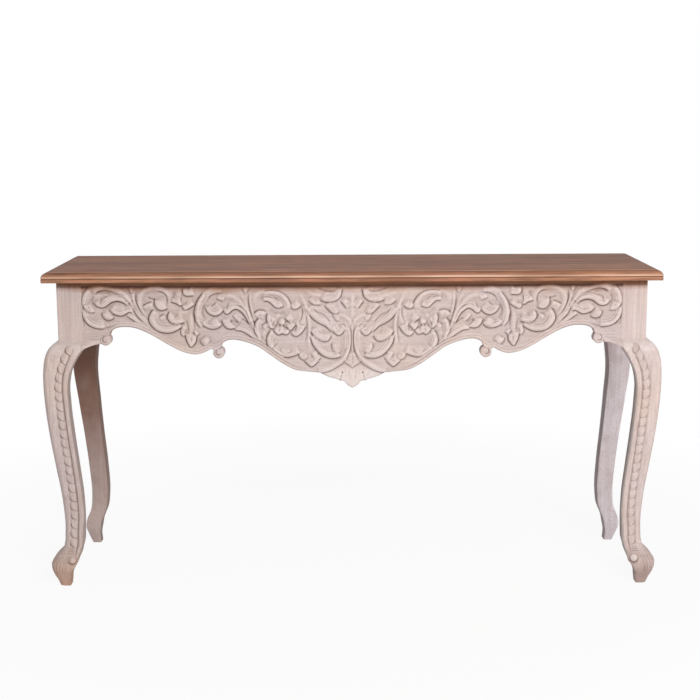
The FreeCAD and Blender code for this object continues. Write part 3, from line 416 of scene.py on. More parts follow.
# Leaf edges: the leaf is on the left of the line. Then how far it swells back, and the height of its edge
LEAF_EDGES = [
    # End scroll
    ([(-640, 750), (-652, 736), (-658, 716), (-656, 702)], 14, 3.4),
    ([(-629, 732), (-620, 741), (-605, 745), (-590, 743), (-575, 737), (-558, 728)], 10, 4.0),
    ([(-656, 712), (-653, 700), (-645, 692), (-634, 690), (-625, 693)], 22, 5.5),
    ([(-659, 700), (-657, 680), (-648, 664), (-634, 654), (-618, 650), (-602, 650)], 24, 5.0),
    ([(-630, 717), (-623, 706), (-612, 702), (-603, 704), (-597, 708), (-587, 715), (-572, 718), (-558, 714),
      (-546, 704)], 18, 6.0),
    ([(-608, 692), (-609, 682), (-604, 674), (-595, 671), (-586, 674), (-581, 681)], 14, 5.0),
    ([(-594, 700), (-584, 688), (-573, 683), (-563, 682), (-553, 686), (-545, 690), (-533, 688)], 18, 6.0),
    ([(-555, 684), (-541, 675), (-525, 663), (-510, 650)], 12, 4.5),
    ([(-546, 752), (-538, 738), (-531, 752)], 8, 3.0),
    # Second scroll
    ([(-486, 713), (-500, 709), (-512, 702)], 14, 4.5),
    ([(-478, 724), (-481, 713), (-478, 702), (-469, 695), (-458, 696), (-449, 703)], 15, 5.5),
    ([(-482, 697), (-491, 686), (-496, 672), (-490, 657), (-478, 645), (-464, 640), (-448, 639), (-432, 644),
      (-413, 656)], 22, 6.0),
    ([(-456, 682), (-466, 679), (-473, 672)], 10, 4.0),
    ([(-443, 692), (-450, 679), (-446, 667), (-436, 661), (-424, 661), (-407, 666)], 18, 6.0),
    ([(-411, 750), (-411, 736), (-403, 730), (-382, 731)], 20, 5.5),
    ([(-444, 718), (-437, 714), (-428, 711), (-420, 706), (-412, 709)], 22, 6.0),
    ([(-416, 708), (-412, 699), (-408, 696), (-397, 700), (-382, 710)], 16, 6.0),
    # Hanging buds
    ([(-413, 660), (-418, 645), (-418, 636), (-413, 631), (-404, 635)], 10, 4.5),
    ([(-389, 643), (-384, 634), (-380, 632), (-374, 640)], 10, 4.5),
    ([(-409, 638), (-405, 620), (-399, 607), (-395, 604), (-390, 608), (-384, 618), (-382, 636)], 14, 6.0),
    ([(-370, 627), (-371, 617), (-366, 609), (-357, 606), (-347, 611)], 14, 4.5),
    # Third scroll
    ([(-360, 738), (-376, 716), (-384, 692), (-383, 676), (-379, 662), (-368, 648)], 16, 5.0),
    ([(-370, 669), (-364, 657), (-354, 651), (-342, 648), (-330, 650), (-317, 660)], 16, 6.0),
    ([(-346, 671), (-348, 663), (-342, 655), (-333, 654), (-325, 660)], 12, 4.5),
    ([(-357, 710), (-353, 722), (-345, 731), (-331, 736), (-314, 737)], 9, 4.0),
    ([(-359, 704), (-354, 691), (-346, 684), (-336, 681), (-325, 684), (-311, 697)], 22, 6.0),
    ([(-332, 725), (-324, 720), (-312, 716)], 12, 4.0),
    ([(-315, 700), (-312, 689), (-306, 685), (-300, 688), (-293, 694), (-283, 697), (-272, 691), (-262, 680),
      (-250, 658)], 16, 6.0),
    ([(-318, 673), (-315, 660), (-308, 651), (-298, 648), (-288, 650), (-283, 656)], 20, 6.0),
    ([(-292, 683), (-286, 673), (-273, 662)], 12, 4.0),
    ([(-289, 655), (-285, 645), (-272, 643), (-260, 637), (-247, 628), (-226, 613)], 14, 5.0),
    ([(-268, 750), (-260, 736), (-252, 750)], 8, 3.2),
    # Flower scroll
    ([(-149, 694), (-153, 712), (-163, 727), (-177, 736), (-196, 740), (-220, 737)], 14, 5.0),
    ([(-220, 716), (-206, 716), (-196, 709), (-189, 702), (-180, 699), (-164, 705)], 18, 6.0),
    ([(-208, 686), (-220, 691), (-231, 690), (-243, 680)], 16, 5.0),
    ([(-224, 676), (-235, 663), (-238, 648), (-236, 636), (-226, 620)], 16, 5.0),
    ([(-202, 662), (-213, 659), (-222, 651)], 14, 4.5),
    ([(-196, 646), (-206, 630), (-209, 617), (-205, 604), (-195, 594)], 18, 5.0),
    ([(-200, 599), (-186, 586), (-172, 579), (-158, 577), (-142, 581), (-125, 588)], 20, 5.5),
    ([(-178, 602), (-173, 592), (-164, 587), (-155, 590), (-150, 600)], 12, 4.5),
    # Flower petals
    ([(-203, 686), (-208, 676), (-207, 663), (-203, 653), (-197, 648), (-189, 651)], 16, 6.0),
    ([(-193, 648), (-188, 638), (-180, 633), (-172, 636), (-163, 633), (-156, 638), (-153, 648)], 20, 6.5),
    ([(-164, 659), (-158, 650), (-152, 644), (-146, 649), (-138, 660)], 14, 5.5),
    ([(-165, 674), (-157, 667), (-148, 660)], 12, 4.5),
    ([(-181, 668), (-179, 660), (-171, 657), (-163, 661)], 9, 4.5),
    # Leaves beside the flower and buds under them
    ([(-153, 710), (-147, 699), (-140, 696), (-132, 699), (-123, 708)], 22, 6.0),
    ([(-122, 706), (-119, 688), (-123, 670), (-131, 657)], 12, 4.0),
    ([(-150, 642), (-146, 633), (-139, 629), (-131, 632), (-122, 641), (-114, 656)], 22, 6.0),
    ([(-80, 721), (-67, 714), (-50, 714), (-38, 718), (-29, 728), (-25, 748)], 22, 6.0),
    ([(-109, 720), (-97, 709), (-86, 706), (-74, 709)], 14, 5.0),
    ([(-113, 701), (-104, 683), (-93, 670), (-80, 661), (-66, 654), (-57, 646), (-45, 636)], 22, 6.0),
    ([(-103, 645), (-93, 629), (-81, 620), (-68, 616), (-58, 620), (-52, 633)], 20, 6.0),
    ([(-103, 632), (-96, 608), (-84, 591), (-70, 579), (-54, 574), (-38, 575), (-26, 580)], 20, 6.0),
    ([(-46, 613), (-49, 602), (-45, 592), (-37, 587), (-27, 590)], 12, 4.5),
    ([(-132, 590), (-129, 577), (-119, 570), (-106, 579)], 14, 5.0),
    ([(-102, 588), (-94, 575), (-86, 569), (-76, 578)], 14, 5.0),
    ([(-121, 571), (-108, 558), (-100, 553), (-91, 560), (-80, 571)], 18, 6.0),
    # Middle
    ([(-53, 655), (-45, 639), (-35, 631), (-26, 635), (-17, 648)], 18, 6.0),
    ([(-69, 707), (-60, 697), (-51, 688), (-43, 684), (-30, 688)], 18, 6.0),
    ([(-44, 688), (-45, 678), (-40, 669), (-31, 665)], 12, 4.5),
    ([(-12, 590), (-11, 625), (-14, 643), (-20, 653), (-30, 657)], 10, 4.0),
    ([(-28, 718), (-20, 706), (-11, 694)], 12, 5.5),
    ([(-7, 709), (-9, 716), (-17, 717), (-25, 712)], 9, 3.0),
    ([(-86, 536), (-60, 541), (-40, 551), (-22, 564), (-10, 585), (-5, 610), (-6, 640), (-18, 656)], 12, 4.5),
    ([(-28, 571), (-12, 559), (0, 551), (9, 545)], 22, 4.0),
]
# Round bosses: place, radius, height and how softly they fall off
BOSSES = [(-172, 666, 7.0, 3.5, 0.5), (-596, 684, 14.0, 3.8, 1.4), (-465, 711, 14.5, 3.4, 1.5),
          (-358, 619, 10.8, 4.6, 1.1), (-335, 665, 10.5, 3.0, 1.0), (-164, 598, 15.0, 0.8, 2.0),
          (-37, 602, 15.0, 1.4, 2.0), (0, 712, 15.0, 2.2, 1.6)]
# Soft ribs, raised, and soft hollows, sunk: line, half width and height
SOFT_LINES = [
    # End scroll
    ([(-578, 749), (-558, 737), (-546, 723), (-536, 704), (-526, 688), (-512, 672), (-496, 657)], 5.5, 3.2),
    ([(-562, 723), (-549, 716), (-540, 707), (-533, 695), (-527, 681), (-514, 667), (-504, 658)], 3.2, -2.6),
    ([(-600, 752), (-625, 750), (-641, 741), (-650, 726), (-651, 711), (-644, 699)], 10.0, 2.6),
    ([(-629, 732), (-634, 719), (-633, 706)], 4.0, -1.4),
    ([(-614, 708), (-612, 720), (-604, 727), (-592, 729)], 3.0, -1.6),
    ([(-625, 738), (-605, 738), (-585, 734)], 6.0, -1.8),
    ([(-606, 712), (-596, 722), (-578, 725), (-560, 721), (-548, 713)], 5.5, 2.2),
    ([(-588, 701), (-572, 702), (-552, 699)], 9.0, 2.4),
    ([(-648, 690), (-650, 676), (-642, 663), (-628, 657), (-610, 656)], 6.0, 2.2),
    ([(-574, 668), (-555, 666), (-535, 657)], 5.0, 1.6),
    ([(-612, 649), (-596, 652), (-580, 658), (-560, 661), (-538, 657)], 3.0, -2.2),
    # Cuts on the ear
    ([(-643, 644), (-630, 642), (-612, 643)], 2.6, -0.5),
    ([(-648, 636), (-632, 637), (-617, 635)], 2.4, -0.6),
    ([(-645, 628), (-636, 630), (-618, 629)], 2.4, -0.5),
    ([(-650, 622), (-634, 621), (-618, 623)], 2.4, -0.6),
    ([(-657, 676), (-656, 664), (-654, 652)], 2.0, -1.4),
    ([(-653, 668), (-648, 660), (-642, 654)], 2.0, -1.4),
    # Second scroll
    ([(-537, 748), (-534, 730), (-530, 712), (-521, 692), (-508, 674), (-494, 660)], 4.0, 2.6),
    ([(-526, 748), (-527, 732), (-526, 714), (-517, 692), (-504, 674)], 2.4, -1.6),
    ([(-500, 668), (-512, 690), (-519, 714), (-514, 734), (-500, 745), (-480, 748), (-462, 745), (-450, 735),
      (-445, 720), (-449, 706)], 7.0, 3.0),
    ([(-478, 740), (-464, 738), (-454, 730), (-451, 717), (-453, 706)], 2.4, -2.0),
    ([(-500, 726), (-488, 722), (-478, 720)], 3.0, -2.0),
    ([(-438, 740), (-432, 730), (-436, 722)], 6.0, -1.6),
    ([(-482, 684), (-486, 671), (-480, 657), (-466, 648), (-448, 647), (-430, 653)], 5.5, 2.2),
    ([(-442, 682), (-438, 672), (-426, 668), (-412, 671)], 5.0, 1.6),
    ([(-428, 680), (-412, 690), (-398, 692)], 8.0, 1.8),
    ([(-432, 718), (-416, 716), (-398, 718)], 7.0, 1.6),
    ([(-396, 690), (-394, 668), (-395, 640), (-395, 615)], 6.0, 1.8),
    ([(-388, 690), (-386, 665), (-385, 645)], 2.6, -1.6),
    ([(-406, 672), (-402, 655), (-400, 638)], 2.6, -1.4),
    # Third scroll
    ([(-320, 748), (-345, 744), (-362, 732), (-373, 712), (-376, 690), (-371, 668)], 6.5, 2.8),
    ([(-357, 712), (-364, 697), (-364, 682), (-358, 670)], 3.5, -1.8),
    ([(-330, 714), (-337, 708), (-347, 700)], 2.2, -1.6),
    ([(-318, 726), (-300, 729), (-284, 722), (-270, 711), (-261, 698), (-253, 680)], 6.0, 2.4),
    ([(-290, 704), (-275, 703), (-262, 692), (-253, 676), (-246, 660)], 2.2, -2.0),
    ([(-356, 660), (-343, 655), (-330, 657), (-320, 665)], 4.0, 1.6),
    ([(-310, 664), (-300, 656), (-289, 660)], 4.0, 1.6),
    ([(-304, 668), (-290, 666), (-278, 660)], 4.0, -1.6),
    ([(-276, 674), (-262, 667), (-250, 655)], 2.4, -1.6),
    ([(-272, 735), (-262, 714), (-256, 694), (-248, 672), (-238, 646), (-226, 624), (-210, 607)], 4.2, 2.8),
    # Flower scroll
    ([(-244, 738), (-249, 718), (-247, 700), (-240, 672)], 4.0, 2.0),
    ([(-254, 738), (-253, 716), (-249, 694), (-242, 668), (-232, 640)], 2.2, -1.8),
    ([(-238, 708), (-238, 726), (-225, 736), (-200, 741), (-180, 737), (-165, 727), (-156, 711)], 7.5, 3.0),
    ([(-222, 724), (-205, 726), (-188, 722), (-178, 714)], 3.0, -1.4),
    ([(-206, 700), (-190, 688), (-176, 685), (-160, 690)], 8.0, -2.4),
    ([(-231, 662), (-232, 645), (-226, 628)], 5.0, 1.8),
    ([(-214, 650), (-215, 632), (-214, 616)], 6.0, 1.6),
    ([(-126, 690), (-127, 672), (-136, 655)], 5.0, 1.8),
    ([(-196, 668), (-186, 668)], 6.0, 1.6),
    ([(-184, 652), (-182, 646)], 6.0, 1.2),
    ([(-189, 651), (-183, 659)], 2.0, -2.0),
    ([(-157, 652), (-162, 658)], 2.0, -1.6),
    ([(-174, 656), (-178, 646), (-181, 638)], 1.8, -1.3),
    ([(-170, 656), (-167, 646), (-163, 637)], 1.8, -1.3),
    ([(-163, 670), (-154, 676), (-145, 679)], 7.0, 2.2),
    ([(-166, 659), (-158, 666), (-144, 667)], 2.0, -1.3),
    ([(-178, 676), (-186, 684)], 6.0, 1.4),
    ([(-198, 628), (-201, 612), (-194, 600), (-180, 589), (-160, 584), (-140, 587)], 6.0, 2.2),
    # Leaves beside the flower
    ([(-130, 738), (-117, 712), (-109, 690), (-105, 665), (-105, 640), (-106, 615), (-104, 594)], 4.4, 3.0),
    ([(-126, 716), (-117, 695), (-112, 670), (-111, 640), (-114, 620), (-120, 602)], 2.4, -0.9),
    ([(-102, 701), (-86, 688), (-70, 680), (-58, 668), (-52, 655)], 2.4, -1.8),
    ([(-100, 690), (-84, 674), (-66, 663), (-54, 650)], 5.0, 1.6),
    ([(-92, 749), (-75, 743), (-58, 739), (-42, 741), (-34, 749)], 3.4, -2.4),
    ([(-120, 744), (-100, 734), (-80, 728), (-58, 722), (-40, 725)], 6.0, 2.0),
    ([(-92, 640), (-82, 630), (-68, 626), (-58, 630)], 5.0, 1.4),
    ([(-90, 608), (-78, 594), (-62, 584), (-44, 582)], 5.5, 2.0),
    # Middle
    ([(-36, 680), (-20, 678), (-8, 668), (-2, 655)], 4.5, 2.4),
    ([(-30, 662), (-17, 657), (-8, 645), (-5, 620), (-8, 600), (-16, 580), (-30, 566), (-50, 554),
      (-72, 545)], 5.0, 2.6),
    ([(0, 735), (0, 715), (0, 695), (0, 672)], 6.0, 2.4),
    ([(-14, 720), (-22, 708)], 5.0, 1.8),
    ([(0, 662), (0, 640), (0, 612), (0, 585)], 3.4, 2.6),
    ([(0, 588), (-6, 574), (0, 562)], 6.0, 1.6),
    ([(-9, 546), (-8, 532), (-6, 516)], 2.2, -0.6),
    ([(-18, 548), (-17, 538), (-15, 528)], 2.2, -0.4),
    ([(-45, 541), (-38, 534), (-34, 526)], 2.4, -0.5),
]
# Drilled dots of the pendant, with the cut that runs from each to the notch below it
PENDANT_CUTS = [[(-25, 537), (-28, 527), (-31, 517)]]


def measure(x, z, line):
    """Distance to a line, whether the point is on its left, and how far along the nearest place is."""
    away = np.full(x.shape, 1e9)
    left = np.zeros(x.shape, bool)
    along = np.zeros(x.shape)
    step = np.diff(line, axis=0)
    size = np.hypot(step[:, 0], step[:, 1])
    start = np.concatenate([[0], np.cumsum(size)])
    for k in range(len(step)):
        px = x - line[k, 0]
        pz = z - line[k, 1]
        t = np.clip((px * step[k, 0] + pz * step[k, 1]) / (size[k] ** 2 + 1e-9), 0, 1)
        d = np.hypot(px - t * step[k, 0], pz - t * step[k, 1])
        nearer = d < away
        away = np.where(nearer, d, away)
        left = np.where(nearer, step[k, 0] * pz - step[k, 1] * px >= 0, left)
        along = np.where(nearer, start[k] + t * size[k], along)
    return away, left, along, start[-1]


def near_line(x, z, line, reach):
    """Which places lie within reach of a line's box."""
    low = line.min(0) - reach
    high = line.max(0) + reach
    return np.nonzero((x > low[0]) & (x < high[0]) & (z > low[1]) & (z < high[1]))


# Share of an edge's height that stands above the ground, and how far the rest is cut away beyond the edge
LIP_SHARE = 0.72
CUT_REACH = 10.0
# Width of the wall at an edge, and of the round behind it
WALL_WIDTH = 1.4
LIP_ROUND = 3.0
# A leaf swells back this many times its given width, with flutes along its edge
BODY_SHARE = 1.7
FLUTE_PITCH = 6.5
FLUTE_HEIGHT = 0.55
FLUTE_START = 6.0
# The ends of an edge die away over this share of its length, but no longer than this
END_SHARE_OF_EDGE = 0.22
LONGEST_END = 9.0
# The ends of a soft line die away over this share of its length, and are cut off this far into the step
END_SHARE_OF_LINE = 0.3
END_CUT_OFF = 0.15
# How steeply a soft line falls off beside its middle, and how many half widths it reaches
SOFT_FALL = 1.2
SOFT_REACH = 2.2
# Depth and half width of a pendant's cut, and of the dot at its top
PENDANT_CUT = (1.3, 2.0)
PENDANT_DOT = (2.4, 4.0)


def carved_heights(x, z):
    """Height of the carving above the apron's face: leaves swell up to their edges, cut away beyond."""
    swell = np.zeros(x.shape)
    cut = np.zeros(x.shape)
    for points, width, rise in LEAF_EDGES:
        line = smooth_line(points)
        spot = near_line(x, z, line, max(BODY_SHARE * width, CUT_REACH))
        away, left, along, length = measure(x[spot], z[spot], line)
        run = min(LONGEST_END, END_SHARE_OF_EDGE * length)
        fade = ease(along / run) * ease((length - along) / run)
        back = 1 - ease(away / (BODY_SHARE * width))
        flute = FLUTE_HEIGHT * np.cos(2 * math.pi * away / FLUTE_PITCH) * ease(away / FLUTE_START)
        lip = fade * back * (LIP_SHARE * rise * (0.6 + 0.4 * ease(away / LIP_ROUND)) + flute)
        beyond = fade * rise * (1 - LIP_SHARE) * (1 - ease(away / CUT_REACH))
        wall = ease(away / WALL_WIDTH)
        swell[spot] = np.maximum(swell[spot], np.where(left, lip, lip * (1 - wall)))
        cut[spot] = np.maximum(cut[spot], np.where(left, 0, beyond * wall))
    rib = np.zeros(x.shape)
    hollow = np.zeros(x.shape)
    for points, half, rise in SOFT_LINES:
        line = smooth_line(points)
        spot = near_line(x, z, line, SOFT_REACH * half)
        away, left, along, length = measure(x[spot], z[spot], line)
        run = END_SHARE_OF_LINE * length
        fade = ease(along / run + END_CUT_OFF) * ease((length - along) / run + END_CUT_OFF)
        shape = fade * np.exp(-SOFT_FALL * (away / half) ** 2)
        if rise > 0:
            rib[spot] = np.maximum(rib[spot], rise * shape)
        else:
            hollow[spot] = np.maximum(hollow[spot], -rise * shape)
    height = swell - cut + rib - hollow
    for cx, cz, radius, rise, power in BOSSES:
        away = np.hypot(x - cx, z - cz)
        height = height + rise * np.clip(1 - (away / radius) ** 2, 0, 1) ** power
    for points in PENDANT_CUTS:
        away, left, along, length = measure(x, z, np.array(points, float))
        dot = np.hypot(x - points[0][0], z - points[0][1])
        height = (height - PENDANT_CUT[0] * (1 - ease(away / PENDANT_CUT[1]))
                  - PENDANT_DOT[0] * (1 - ease(dot / PENDANT_DOT[1])))
    return height


def blurred(grid, radius):
    """The grid smoothed over a radius in millimetres, at one value a millimetre."""
    reach = int(math.ceil(3 * radius))
    weight = np.exp(-0.5 * (np.arange(-reach, reach + 1) / radius) ** 2)
    weight /= weight.sum()
    for axis in (0, 1):
        room = [(0, 0), (0, 0)]
        room[axis] = (reach, reach)
        wide = np.pad(grid, room, mode="reflect")
        parts = [w * np.take(wide, range(k, k + grid.shape[axis]), axis) for k, w in enumerate(weight)]
        grid = sum(parts)
    return grid


CARVED_LEFT = -668
CARVED_LOW = 490
CARVED_HIGH = 772
# Share of the drawn heights that is carved, and the rounding that the tool leaves
CARVED_SHARE = 0.88
TOOL_ROUND = 0.7
grid_x = np.arange(CARVED_LEFT, 1)
grid_z = np.arange(CARVED_LOW, CARVED_HIGH)
drawn = carved_heights(*np.meshgrid(grid_x.astype(float), grid_z.astype(float)))
carving = CARVED_SHARE * blurred(drawn, TOOL_ROUND)
# Stain with painted shade lies dark in narrow cuts, painted shade lies thin in wide hollows, and a haze grows
# towards the ends
narrow_cuts = np.clip((blurred(carving, 1.6) - carving) / 0.85, 0, 1)
wide_hollows = 0.08 * (blurred(carving, 8.0) - carving)
haze = 0.01 + 0.11 * ease(-grid_x / 260)
hollows = np.clip(narrow_cuts + haze + wide_hollows, 0, 1)
# Painted highlights on the crests
crests = np.clip((carving - blurred(carving, 2.2)) / 2.2, 0, 0.4)


def picked(grid, x, z):
    """Value of a carving grid at a place on either half of the apron."""
    gx = np.clip(-np.abs(x) - CARVED_LEFT, 0, grid.shape[1] - 1.001)
    gz = np.clip(z - CARVED_LOW, 0, grid.shape[0] - 1.001)
    i = gx.astype(int)
    j = gz.astype(int)
    fx = gx - i
    fz = gz - j
    return ((grid[j, i] * (1 - fx) + grid[j, i + 1] * fx) * (1 - fz)
            + (grid[j + 1, i] * (1 - fx) + grid[j + 1, i + 1] * fx) * fz)


# Lower edge of the apron: percent of the way to the outer curl, and drop below the top's underside
OUTER_CURL_X = 604.5
PENDANT_LEAVES = [(0, 267), (2, 260), (3.5, 250), (5.2, 248.5), (6.5, 244.5), (10, 238.5), (13.3, 228.5)]
INNER_ARCH = [(13.3, 228.5), (18.3, 225.5), (23.3, 221), (28.3, 205.5), (33.1, 185), (37.9, 164.5),
              (42.8, 152), (47.3, 145.5), (50.4, 146.5), (52.6, 153)]
OUTER_ARCH = [(57.3, 167.5), (60.1, 176.5), (63.7, 181.8), (68.6, 175.5), (73.4, 161.5), (78.2, 144),
              (83.2, 127), (87.9, 115.5), (92, 112.5), (95.5, 115.5), (97.7, 123.5)]
INNER_NECK = [(52.6, 153), (53.0, 160), (53.8, 168), (55.2, 172), (56.4, 171), (57.3, 167.5)]
OUTER_NECK = [(97.7, 123.5), (98.2, 131), (98.9, 140), (99.6, 147), (110, 147)]
# Middle of each curl in the same measures, and its radius
INNER_CURL = (54.2, 177.5, 14.0)
OUTER_CURL = (100.0, 144.5, 13.6)
# Distance of the carving's ground in front of the middle of the table
GROUND = -APRON_FACE + 0.4


def apron_place(percent, drop):
    """Place in millimetres from the middle and above the floor."""
    return percent * OUTER_CURL_X / 100, TOP_UNDER - drop


def lower_edge(x):
    """Height of the apron's lower edge, with the curls left off."""
    line = np.vstack([smooth_line([apron_place(*p) for p in part])
                      for part in (PENDANT_LEAVES, INNER_ARCH, INNER_NECK, OUTER_ARCH, OUTER_NECK)])
    return np.interp(np.abs(x), line[:, 0], line[:, 1])


# Columns of the apron's face, and its rows by distance from the lower edge, close together in the border
APRON_COLUMNS = 851
BORDER_ROWS = [0, 0.3, 0.9, 1.8, 3.0, 4.4, 5.8, 7.2, 8.0, 8.5, 9.2, 10.2, 11.4, 12.6, 13.6, 14.4]
ROWS_ABOVE = 92
# Where the edge is steep the border's rows spread up to this much, evened out over this many columns
MOST_SPREAD = 1.8
EVENED_OVER = 21
# The border's two beads: distance from the lower edge, half width and height over their bed
OUTER_BEAD = (4.2, 4.2, 1.6)
INNER_BEAD = (11.4, 2.6, 0.9)
BED_DEPTH = 0.5
BORDER_WIDTH = 15
# Distances from the middle where the border, its inner bead and the free edge begin or end, and the run
BORDER_BEGINS = (112, 40)
BORDER_ENDS = (602, 34)
INNER_BEAD_BEGINS = (150, 60)
FREE_EDGE_ENDS = (612, 4)
# How far from the edge the carving begins over the border, and how far under the top it ends, with the run
CARVING_BEGINS = (13.5, 3)
CARVING_ENDS = (9, 7)
# Dark lines beside the two beads: distance from the lower edge and half width
OUTER_LINE = (8.6, 1.0)
INNER_LINE = (14.6, 1.3)
# Radius of the turned lower edge
EDGE_ROUND = 2.5
# Crowns of the arches, where the turned edge lies in its own shade: distance from the middle, half length
ARCH_CROWNS = [(548, 45), (285, 30)]


def border_bead(depth, inner):
    """Two beads along the lower edge: height by distance from the edge, and share of the inner one."""
    first = OUTER_BEAD[2] * half_round(depth, *OUTER_BEAD[:2])
    second = INNER_BEAD[2] * inner * half_round(depth, *INNER_BEAD[:2])
    return np.maximum(first, second) - BED_DEPTH


def apron_border(x, depth):
    """Shares of the border, of its inner bead, of the carving above it and of the edge that hangs free."""
    away = np.abs(x)
    bordered = begins(away, *BORDER_BEGINS) * ends(away, *BORDER_ENDS)
    inner = begins(away, *INNER_BEAD_BEGINS)
    clear = 1 - bordered * (1 - begins(depth, *CARVING_BEGINS))
    free_edge = ends(away, *FREE_EDGE_ENDS)
    return bordered, inner, clear, free_edge


def apron_relief(x, z, depth):
    """Height of the apron's face over its ground: carving, border and turned edge, flat under the top."""
    bordered, inner, clear, free_edge = apron_border(x, depth)
    relief = picked(carving, x, z) * clear
    relief = np.where(depth < BORDER_WIDTH, relief + bordered * border_bead(depth, inner), relief)
    relief = relief - turned_edge(depth, EDGE_ROUND) * free_edge
    return relief * (1 - begins(z, TOP_UNDER - CARVING_ENDS[0], CARVING_ENDS[1]))


def apron_finish(x, z, depth, relief):
    """Stain with painted shade, and pale wash with painted highlights, on the apron's face, and how far each
    place stands out of the top's stain.
    """
    bordered, inner, clear, free_edge = apron_border(x, depth)
    away = np.abs(x)
    # Lines of the border, darkest near the middle
    crisp = 0.22 + 0.35 * ends(away, 270, 40)
    lines = bell(depth, *OUTER_LINE) + 0.9 * inner * bell(depth, *INNER_LINE)
    # Painted shade on the turned edge, darkest at the crowns of the arches
    crown = sum(bell(away, middle, half) for middle, half in ARCH_CROWNS)
    edge_shading = free_edge * (0.3 * (1 - ease(depth / 3.5)) + 0.4 * crown * (1 - ease(depth / 6)))
    dark = np.clip(picked(hollows, x, z) * clear + bordered * crisp * lines + edge_shading, 0, 1)
    # Less dark right of the middle, and darker towards the right end
    dark = dark * (1 - 0.08 * ease(x / 250)) + 0.05 * begins(x, 250, 250)
    # Painted shadow: a dark line under the top, on what doesn't stand proud
    shade = 0.9 * bell(z, STAIN_SHADE_HIGH, 4.4)
    dark = np.clip(dark + shade * (1 - ease(relief / 4)), 0, 1)
    # The tip of the pendant is pale
    tip = 0.4 * (1 - begins(z, 530, 30)) * (1 - begins(away, 60, 30))
    pale = picked(crests, x, z) * clear + tip
    # Painted light: proud places and the right half are kept out of the stain and painted shade under the top
    proud = np.clip(relief - 1.2, 0, 4) + 1.6 * ease(x / 200)
    return dark, pale, proud


def carved_apron():
    """Front apron as one board: carved face, beaded lower edge, flat back."""
    columns = np.linspace(-POST_IN, POST_IN, APRON_COLUMNS)
    low = lower_edge(columns)
    slope = np.gradient(low, columns)
    spread = np.clip(np.sqrt(1 + slope**2), 1, MOST_SPREAD)
    wide = np.pad(spread, EVENED_OVER // 2, mode="edge")
    spread = np.convolve(wide, np.full(EVENED_OVER, 1 / EVENED_OVER), mode="valid")
    start = low + BORDER_ROWS[-1] * spread
    z = np.array([low + depth * spread for depth in BORDER_ROWS]
                 + [start + t * (TOP_UNDER - start) for t in np.linspace(0, 1, ROWS_ABOVE + 1)[1:]])
    x = np.tile(columns, (len(z), 1))
    depth = (z - low) / spread
    relief = apron_relief(x, z, depth)
    y = -(GROUND + relief)
    back = [np.stack([columns, np.full_like(columns, APRON_BACK), low + t * (TOP_UNDER - low)], 1)
            for t in (1.0, 0.5, 0.0)]
    rows = [np.stack([x[k], y[k], z[k]], 1) for k in range(len(z))] + back
    points = np.stack(rows, 1).reshape(-1, 3)
    plain = np.zeros((len(back), len(columns)))
    finish = apron_finish(x, z, depth, relief)
    crevice, pale, proud = [np.vstack([mark, plain]).T.reshape(-1) for mark in finish]
    faces = capped_rings(len(columns), len(rows))
    return new_piece("carved_front_apron", points, faces, washed_apron, "washed_wood", ["front_apron"], 75.0,
                     crevice=crevice, pale=pale, proud=proud)


# Groove of a curl: angle where it leaves the rim, share of the radius on the outward side, and tightening
CURL_START = math.radians(110)
CURL_MIDWAY = 0.52
CURL_TIGHTER = 0.256
# Depth and half width of the groove, and width of the stain along the rim
CURL_GROOVE = (2.0, 1.35)
CURL_RIM = 1.3
# Height of the curl's dome, and how far its foot lies behind the apron's ground
CURL_DOME = 5.2
CURL_BEHIND = 2.4
# Spokes of a curl, and its rings as shares of the radius
CURL_SPOKES = 72
CURL_RINGS = [0.02, 0.12, 0.22, 0.3, 0.37, 0.44, 0.51, 0.58, 0.65, 0.72, 0.79, 0.86, 0.92, 0.97, 1.0]


def curl(centre_x, centre_z, radius, side):
    """Scroll end of the apron's edge: a dome with a groove that winds in from the rim to the eye."""
    points = []
    crevice = []
    for turn in np.linspace(0, 2 * math.pi, CURL_SPOKES, endpoint=False):
        across = side * math.cos(turn)
        up = math.sin(turn)
        wound = turn if turn <= CURL_START else turn - 2 * math.pi
        line = CURL_MIDWAY * math.exp(CURL_TIGHTER * wound)
        # The groove dies away towards the eye, and painted shade on the rim is darkest low on its outward
        # side
        deep = ease((wound + math.radians(230)) / math.radians(200))
        under = 0.25 + 0.75 * max(0.0, math.cos(turn + math.radians(55)))
        for share in CURL_RINGS:
            groove = deep * bell((share - line) * radius, 0, CURL_GROOVE[1])
            rim = under * bell((1 - share) * radius, 0, CURL_RIM)
            rise = CURL_DOME * math.sqrt(max(0.0, 1 - (0.92 * share) ** 2.6)) - CURL_GROOVE[0] * groove
            points.append((centre_x + across * share * radius, -(GROUND + rise - CURL_BEHIND),
                           centre_z + up * share * radius))
            crevice.append(min(1.0, 0.7 * groove + 0.5 * rim + 0.03))
        points.append((centre_x + across * radius, APRON_BACK, centre_z + up * radius))
        crevice.append(0.1)
    return np.array(points), crevice, len(CURL_RINGS) + 1


def apron_curls():
    """The four curls, which hang from the lower edge and cover the ends of its beads."""
    points = []
    faces = []
    crevice = []
    for percent, drop, radius in (INNER_CURL, OUTER_CURL):
        for side in (-1, 1):
            x, z = apron_place(percent, drop)
            disc, darkening, around = curl(side * x, z, radius, side)
            first = len(points)
            count = len(disc) // around
            points.extend(disc.tolist())
            crevice.extend(darkening)
            for k in range(count):
                for i in range(around - 1):
                    a = first + k * around + i
                    b = first + ((k + 1) % count) * around + i
                    faces.append((a, a + 1, b + 1, b))
            faces.append(tuple(first + k * around + around - 1 for k in range(count)))
    return new_piece("apron_curls", points, faces, washed_apron, "washed_wood", (), 70.0, crevice=crevice)


carved_apron()
apron_curls()


